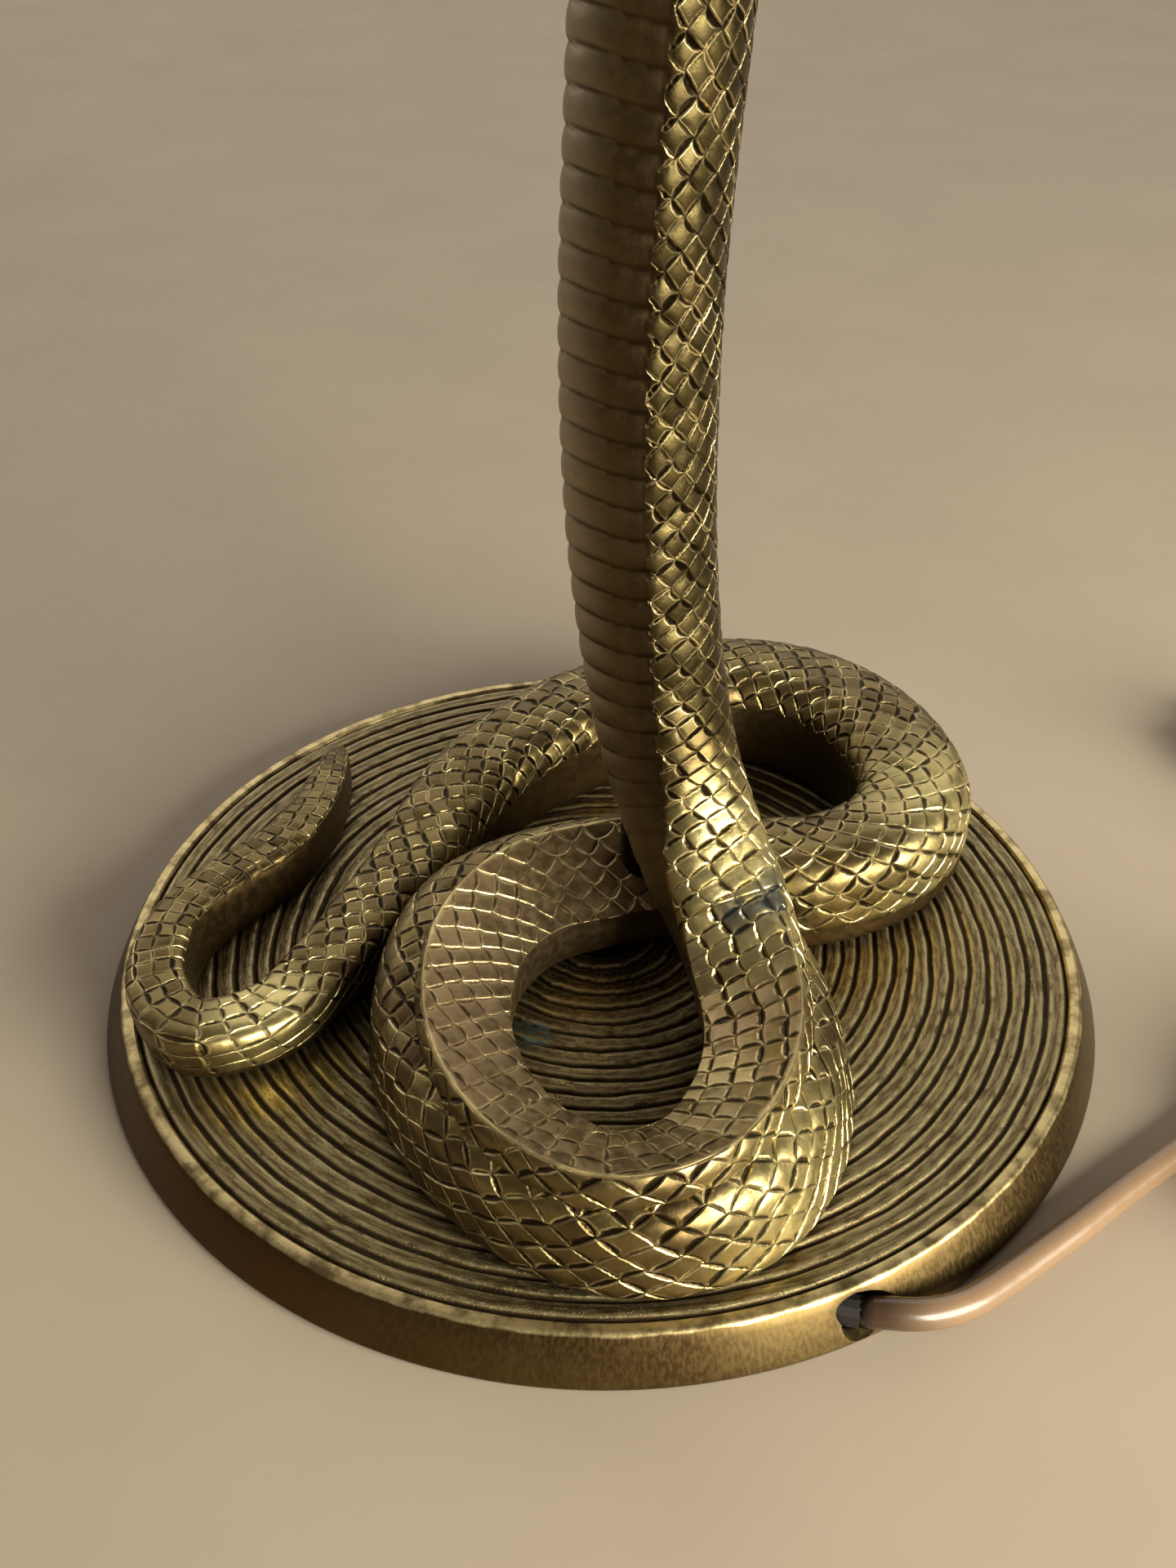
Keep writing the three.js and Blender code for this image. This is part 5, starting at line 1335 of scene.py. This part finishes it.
# %% Bronze with scales
def skin_ground(f, scaled, bare, tone):
    """The colour between the cuts: rose on the band, lightened there as painted light, each scale's own tone,
    a darker olive on the upright scales as painted shade, gold patches where the gleam falls as painted
    highlight and rubbing by hands, and on the belly darker sides as painted shade and a paler left as painted
    light."""
    ground, fine = bronze_ground(f)
    # Painted light: the flat band, which faces up, is made lighter and rosier than its patina.
    ground = f.mix(f.product(f.layer("band"), f.rise(fine, 0.0, 1.0, 0.5, 0.75)), ground, BAND_ROSE_AND_LIGHT)
    ground = f.mix(f.product(tone, scaled, 0.4), ground, LIGHT_SCALE)
    # Painted shade: the upright scales of the column, hood and head are darkened to a deep olive.
    ground = f.mix(f.product(f.layer("raised"), scaled, 0.86), ground, COLUMN_OLIVE_SHADE)
    # Painted highlight, also read as rubbing: gold patches where the right-front lamp's gleam falls.
    for spot, reach in HIGHLIGHT_AND_RUBBED_SPOTS:
        ground = f.mix(f.product(f.near(spot, reach), scaled, 0.7), ground, HIGHLIGHT_AND_RUBBED_GOLD)
    ground = f.mix(f.product(bare, 0.45), ground, DEEP_PATINA)
    # Painted shade: the belly darker next to the scales.
    ground = f.mix(f.product(f.layer("belly_painted_shade"), 0.9), ground, BELLY_SHADE_BROWN)
    # Painted light: the belly's left side paler, in place of a reflection.
    return f.mix(f.product(f.layer("belly_painted_light"), 0.8), ground, PAINTED_LIGHT_PALE), fine


def scaled_bronze():
    """Patina on scales, and V strokes between them with dirt in the bottom and gold on the walls and lips.
    The same gold is on the rim, dirt is between the belly's plates, and a blue stain is at the joint."""
    f = Finish("scaled_bronze")
    scaled, rim = f.layer("scaled"), f.layer("rim")
    bare = f.math("SUBTRACT", 1.0, scaled)
    lip, tone, tilt = scale_cuts(f, scaled)
    ground, fine = skin_ground(f, scaled, bare, tone)
    patchy = f.rise(f.noise(160, detail=2), 0.38, 0.58, 0.1, 1.0)
    uneven = f.rise(tone, 0.1, 0.7, 0.25, 1.0)
    wall = f.product(f.rise(lip, -0.085, -0.05), f.rise(lip, 0.035, 0.005), patchy, uneven, scaled)
    worn = f.math("MAXIMUM", wall, f.product(rim, f.rise(f.noise(90), 0.35, 0.6, 0.25, 1.0)))
    colour = f.mix(f.product(worn, 0.7), ground, WORN_GOLD)
    colour = f.mix(f.product(f.rise(lip, -0.06, -0.1), scaled, 0.85), colour, DIRT_AND_SHADE)
    colour = f.mix(f.product(f.layer("belly_line"), 0.8), colour, DIRT_AND_SHADE)
    stain = f.product(f.layer("braze"), f.rise(f.noise(110), 0.45, 0.58))
    colour = f.mix(f.product(stain, 0.8), colour, BLUE_STAIN)
    rough = f.math("ADD", f.rise(fine, 0, 1, 0.3, 0.42), f.product(bare, 0.08))
    pits = f.bump(f.noise(1000, detail=4), 0.0001, 0.5)
    height = f.math("ADD", f.math("MINIMUM", lip, 0.0), tilt)
    return f.done(colour, rough, f.bump(height, SCALE_SIZE, 0.9, pits), metallic=BRONZE_METALLIC)


dress(scaled_bronze(), tail, lower_ring, upper_ring, column, hood, head)

# %% [markdown]
# The base has the same patina, treated in two ways. On the cut rings dirt has stayed in the grooves and
# polish has reached their shoulders, and there is one blue-green spot inside the ring. The wall is brushed
# upright, darker and browner towards its left as painted shade, worn to gold along its rim and round the
# cord's hole, and dark inside the hole as painted shade.

# %% Base finishes
STREAK_LIGHT = (0.33, 0.27, 0.13)
SHOULDER_GOLD = (0.6, 0.5, 0.26)
VERDIGRIS, VERDIGRIS_AT, VERDIGRIS_REACH = (0.12, 0.2, 0.19), (-0.0148, -0.0329, 0.0105), 0.0065
BRUSHED_LIGHT = (0.19, 0.14, 0.047)
WALL_SHADE_BROWN = (0.06, 0.026, 0.006)
RIM_GOLD = (0.78, 0.62, 0.3)
RIM_FROM, RIM_TO, RIM_WANDER = 0.0097, 0.0102, 0.0012
INSIDE_MOUTH, INSIDE_REACH, MOUTH_REACH = (0.0451, -0.0938, 0.0054), 0.0078, 0.0056


def ringed_bronze():
    """Patina on the cut rings: brown floors, bright shoulders, duller ridges, streaks along each ring."""
    f = Finish("ringed_bronze")
    recess = f.layer("recess")
    ring_map = f.put("UVMap", uv_map="pattern")
    ground, fine = bronze_ground(f)
    ground = f.mix(f.product(f.layer("tone"), 0.3), ground, DEEP_PATINA)
    streak = f.noise(1300, detail=5, stretch=(0.25, 1, 1), vector=ring_map)
    grains = f.noise(2600, detail=3)
    ground = f.mix(f.product(f.rise(streak, 0.4, 0.64), 0.6), ground, STREAK_LIGHT)
    shoulder = f.product(f.rise(recess, 0.02, 0.1), f.rise(recess, 0.5, 0.2), f.rise(f.noise(260), 0.3, 0.5))
    colour = f.mix(f.product(shoulder, 0.55), ground, SHOULDER_GOLD)
    colour = f.mix(f.product(f.rise(recess, 0.3, 0.85), 0.9), colour, DIRT_AND_SHADE)
    bloom = f.product(f.near(VERDIGRIS_AT, VERDIGRIS_REACH), f.rise(f.noise(500), 0.4, 0.55))
    colour = f.mix(f.product(bloom, 0.85), colour, VERDIGRIS)
    rough = f.math("ADD", f.rise(fine, 0, 1, 0.33, 0.46), f.product(recess, 0.2))
    relief = f.math("ADD", streak, f.product(f.rise(grains, 0.55, 0.75), 0.5))
    return f.done(colour, rough, f.bump(relief, 0.00022, 0.7), metallic=0.9)


def brushed_bronze():
    """Fine upright brush marks, from a noise that is drawn out along the height, and a worn rim whose
    lower limit wanders."""
    f = Finish("brushed_bronze")
    ground, fine = bronze_ground(f)
    brush = f.noise(1500, detail=3, stretch=(1, 1, 0.12))
    height = f.put("SeparateXYZ", f.place, out="Z")
    wander = f.math("ADD", height, f.product(f.math("SUBTRACT", f.noise(110), 0.5), RIM_WANDER))
    rubbed = f.rise(f.noise(190, detail=4), 0.34, 0.6, 0.25, 1.0)
    rim = f.product(f.rise(wander, RIM_FROM, RIM_TO), rubbed)
    colour = f.mix(f.product(f.rise(brush, 0.35, 0.7), 0.45), ground, BRUSHED_LIGHT)
    side = f.put("SeparateXYZ", f.place, out="X")
    # Painted shade: the wall darker and browner towards its left.
    colour = f.mix(f.rise(side, -0.09, 0.03, 0.9, 0.3), colour, WALL_SHADE_BROWN)
    colour = f.mix(f.product(rim, 0.75), colour, RIM_GOLD)
    colour = f.mix(f.product(f.near(tuple(MOUTH_AT), MOUTH_REACH), 0.3), colour, WORN_GOLD)
    # Painted shade: dark inside the cord's hole.
    colour = f.mix(f.near(INSIDE_MOUTH, INSIDE_REACH), colour, DIRT_AND_SHADE)
    rough = f.rise(brush, 0.3, 0.7, 0.32, 0.44)
    return f.done(colour, rough, f.bump(brush, 0.00006, 0.5), metallic=BRONZE_METALLIC)


dress(ringed_bronze(), base_top)
dress(brushed_bronze(), base_wall)

# %% [markdown]
# The fittings are plain metals. Brass has a warm tone with fingered, duller patches, steel is grey with
# fine marks, and both are a little rougher where a slow noise says so.


# %% Metals
BRASS = ((0.62, 0.44, 0.17), (0.34, 0.24, 0.1))
STEEL = ((0.56, 0.57, 0.58), (0.36, 0.37, 0.38))
NICKEL = ((0.72, 0.7, 0.66), (0.5, 0.48, 0.44))
TONGUE_BRONZE = ((0.4, 0.26, 0.12), (0.2, 0.12, 0.06))
PATCH_SCALE, MARK_SCALE = 36, 1080
IN_CASTING = 0.2


def plain_metal(name, tones, rough_low, rough_high, shade_below=0.0):
    """A bright tone with duller patches from a slow noise and fine marks from a drawn-out one. Below a given
    height, where it stands inside the casting, it is darkened as painted shade."""
    f = Finish(name)
    bright, dull = tones
    patches = f.rise(f.noise(PATCH_SCALE), 0.35, 0.7)
    marks = f.noise(MARK_SCALE, stretch=(1, 1, 0.2))
    colour = f.mix(f.product(patches, 0.8), bright, dull)
    if shade_below:
        # Painted shade inside the casting.
        height = f.put("SeparateXYZ", f.place, out="Z")
        colour = f.mix(f.rise(height, shade_below, shade_below - 0.01), colour, DIRT_AND_SHADE)
    rough = f.math("ADD", f.rise(patches, 0, 1, rough_low, rough_high), f.product(marks, 0.06))
    return f.done(colour, rough, f.bump(marks, 0.00004, 0.4), metallic=1.0)


brass = plain_metal("aged_brass", BRASS, 0.2, 0.38)
steel = plain_metal("zinc_steel", STEEL, 0.28, 0.42)
screws = [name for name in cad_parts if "screw" in name or "clamp" in name]
dress(brass, sleeve, cap, shell, lower_grip, upper_grip, fitter, *arms, pin_left, pin_right, "pipe_locknut",
      "holder_contact")
dress(plain_metal("pipe_brass", BRASS, 0.2, 0.38, shade_below=IN_CASTING), "lamp_pipe")
dress(steel, wire_low, wire_high, "pipe_foot_nut", "pipe_foot_washer", "switch_spindle", *screws)
dress(plain_metal("bulb_metal", NICKEL, 0.2, 0.34), bulb_cap, "bulb_contact")
dress(plain_metal("tongue_bronze", TONGUE_BRONZE, 0.28, 0.4), "snake_tongue")

# %% [markdown]
# The cord has a glossy beige sheath. Its finish needs no strong pattern, only a very slight waviness and
# small scuffs, so that its long highlight isn't ruler straight. The other soft and fired materials are
# made the same way: two near tones, a roughness that varies, and a fine bump.


# %% Sheath, plastic, ceramic, glass and stone
def even_stuff(name, first, second, rough_low, rough_high, grain=900, relief=0.00004, shaded_near=None,
               **constants):
    """Two near tones mixed by a slow noise, with the roughness and the bump from a fine one. Where a place, a
    reach and a colour are given for it, it is darker there, as painted shade."""
    f = Finish(name)
    fine = f.noise(grain)
    colour = f.mix(f.rise(f.noise(grain / 14), 0.3, 0.7), first, second)
    if shaded_near:
        spot, reach, shadow_colour = shaded_near
        colour = f.mix(f.product(f.near(spot, reach), 0.9), colour, shadow_colour)
    rough = f.rise(fine, 0.35, 0.7, rough_low, rough_high)
    return f.done(colour, rough, f.bump(fine, relief, 0.4), **constants)


# Painted shade: the cord darker where it comes out of the hole in the base.
SHADED_SHEATH = ((0.0445, -0.0955, 0.005), 0.022, (0.028, 0.013, 0.007))
sheath = even_stuff("cord_sheath", (0.27, 0.17, 0.096), (0.235, 0.146, 0.08), 0.24, 0.34, 400,
                    shaded_near=SHADED_SHEATH, coat_weight=0.12)
dark_plastic = even_stuff("dark_plastic", (0.02, 0.018, 0.016), (0.035, 0.03, 0.027), 0.28, 0.42)
glaze = even_stuff("glazed_ceramic", (0.82, 0.79, 0.72), (0.74, 0.71, 0.64), 0.12, 0.24, coat_weight=0.5)
opal = even_stuff("opal_glass", (0.88, 0.87, 0.83), (0.82, 0.81, 0.77), 0.12, 0.2, coat_weight=0.6)
stone = even_stuff("garnet", (0.2, 0.008, 0.012), (0.07, 0.002, 0.004), 0.04, 0.09, coat_weight=1.0)
pale_lead = even_stuff("lead_white", (0.75, 0.74, 0.7), (0.66, 0.65, 0.61), 0.35, 0.5)
card = even_stuff("cover_board", (0.06, 0.05, 0.04), (0.09, 0.075, 0.06), 0.7, 0.85, relief=0.0001)
fuzz = even_stuff("green_felt", (0.018, 0.06, 0.03), (0.03, 0.085, 0.045), 0.85, 0.98, 1600, 0.0004,
                  sheen_weight=0.4)
dress(sheath, cord, plug_body, plug_relief)
# Painted shade: the cord inside the base is almost black.
dress(even_stuff("sheath_shaded_in_base", (0.012, 0.007, 0.004), (0.008, 0.005, 0.003), 0.6, 0.75), "cord_inner")
dress(dark_plastic, switch_key, "lead_live", "cord_tie")
dress(glaze, insert)
dress(opal, bulb_glass, "bulb_stem")
dress(stone, eye_left, eye_right)
dress(pale_lead, "lead_neutral")
dress(card, "base_cover")
dress(fuzz, felt)

# %% [markdown]
# Linen is a plain weave with threads of uneven thickness. The cloth's UV map is in millimetres, so the
# two sets of threads are two sine waves a thread apart, and long thin noise makes the slubs, along the
# threads in both directions.


# %% Linen
def linen(name, tint, shade_tint, thread=0.75):
    """Plain weave: where one wave is high its thread lies on top; slubs lighten and darken whole threads."""
    f = Finish(name)
    cloth_uv = f.put("UVMap", uv_map="pattern")
    u, v = (f.put("SeparateXYZ", cloth_uv, out=axis) for axis in "XY")
    turns = 2 * np.pi / thread
    across, up_cloth = (f.math("SINE", f.product(axis, turns)) for axis in (u, v))
    weave = f.product(*(f.math("SINE", f.product(axis, turns / 2)) for axis in (u, v)))
    threads = f.math("ADD", f.math("MAXIMUM", across, up_cloth), weave)
    slub_u = f.noise(1.1, vector=cloth_uv, stretch=(0.035, 1, 1))
    slub_v = f.noise(1.1, vector=cloth_uv, stretch=(1, 0.035, 1))
    slub = f.rise(f.math("ADD", slub_u, slub_v), 0.8, 1.25)
    colour = f.mix(slub, tint, shade_tint)
    between = tuple(0.6 * channel for channel in shade_tint)
    colour = f.mix(f.rise(threads, 0.2, -1.2, 0.0, 0.35), colour, between)
    normal = f.bump(f.math("ADD", threads, f.product(slub, 2.0)), 0.00012, 0.8)
    return f.done(colour, 0.9, normal, sheen_weight=0.25)


cloth_finish = linen("shade_linen", (0.6, 0.53, 0.41), (0.47, 0.4, 0.3))
tape_finish = even_stuff("shade_tape", (0.52, 0.45, 0.34), (0.45, 0.385, 0.29), 0.8, 0.92, 1400, 0.0002,
                         sheen_weight=0.3)
dress(cloth_finish, cloth)
dress(tape_finish, tape_low, tape_high)

# %% [markdown]
# The stage is a plain pale floor and soft lamps. A wide soft lamp low at the right front gives the gold
# gleam on everything that faces it, and dimmer ones at the left and the back light the rest. A plain
# display transform keeps the gleam golden.


# %% Stage
FLOOR_REACH = 4.0
WORLD_TINT, WORLD_STRENGTH = (1, 0.91, 0.8, 1), 0.17


def soft_lamp(name, place, target, size, power, tint):
    """An area lamp of a width and a height in metres that faces its target."""
    data = bpy.data.lights.new(name, "AREA")
    data.shape = "RECTANGLE"
    data.size, data.size_y = size
    data.energy = power
    data.color = tint
    lamp = bpy.data.objects.new(name, data)
    bpy.context.scene.collection.objects.link(lamp)
    lamp.location = place
    lamp.rotation_euler = (Vector(target) - Vector(place)).to_track_quat("-Z", "Y").to_euler()
    print(name, power, "W")


floor_mesh = bpy.data.meshes.new("floor")
corners = [(x * FLOOR_REACH, y * FLOOR_REACH, 0) for x, y in ((-1, -1), (1, -1), (1, 1), (-1, 1))]
floor_mesh.from_pydata(corners, [], [(0, 1, 2, 3)])
floor = bpy.data.objects.new("floor", floor_mesh)
bpy.context.scene.collection.objects.link(floor)
dress(even_stuff("pale_floor", (0.42, 0.34, 0.25), (0.4, 0.32, 0.235), 0.75, 0.85, grain=200), floor)

soft_lamp("right_front_lamp", place=(0.8, -0.72, 0.38), target=(0.02, 0, 0.03), size=(0.85, 0.6), power=35,
          tint=(1, 0.97, 0.84))
soft_lamp("left_lamp", place=(-1.2, 0.8, 0.6), target=(0, 0, 0.1), size=(0.9, 0.8), power=2,
          tint=(1, 0.96, 0.9))
soft_lamp("back_lamp", place=(0.0, 1.4, 0.95), target=(0, 0, 0.05), size=(2.8, 1.3), power=13,
          tint=(1, 0.96, 0.89))
world = bpy.data.worlds.new("studio")
world.use_nodes = True
background = world.node_tree.nodes["Background"]
background.inputs["Color"].default_value = WORLD_TINT
background.inputs["Strength"].default_value = WORLD_STRENGTH
bpy.context.scene.world = world
bpy.context.scene.view_settings.view_transform = "Standard"
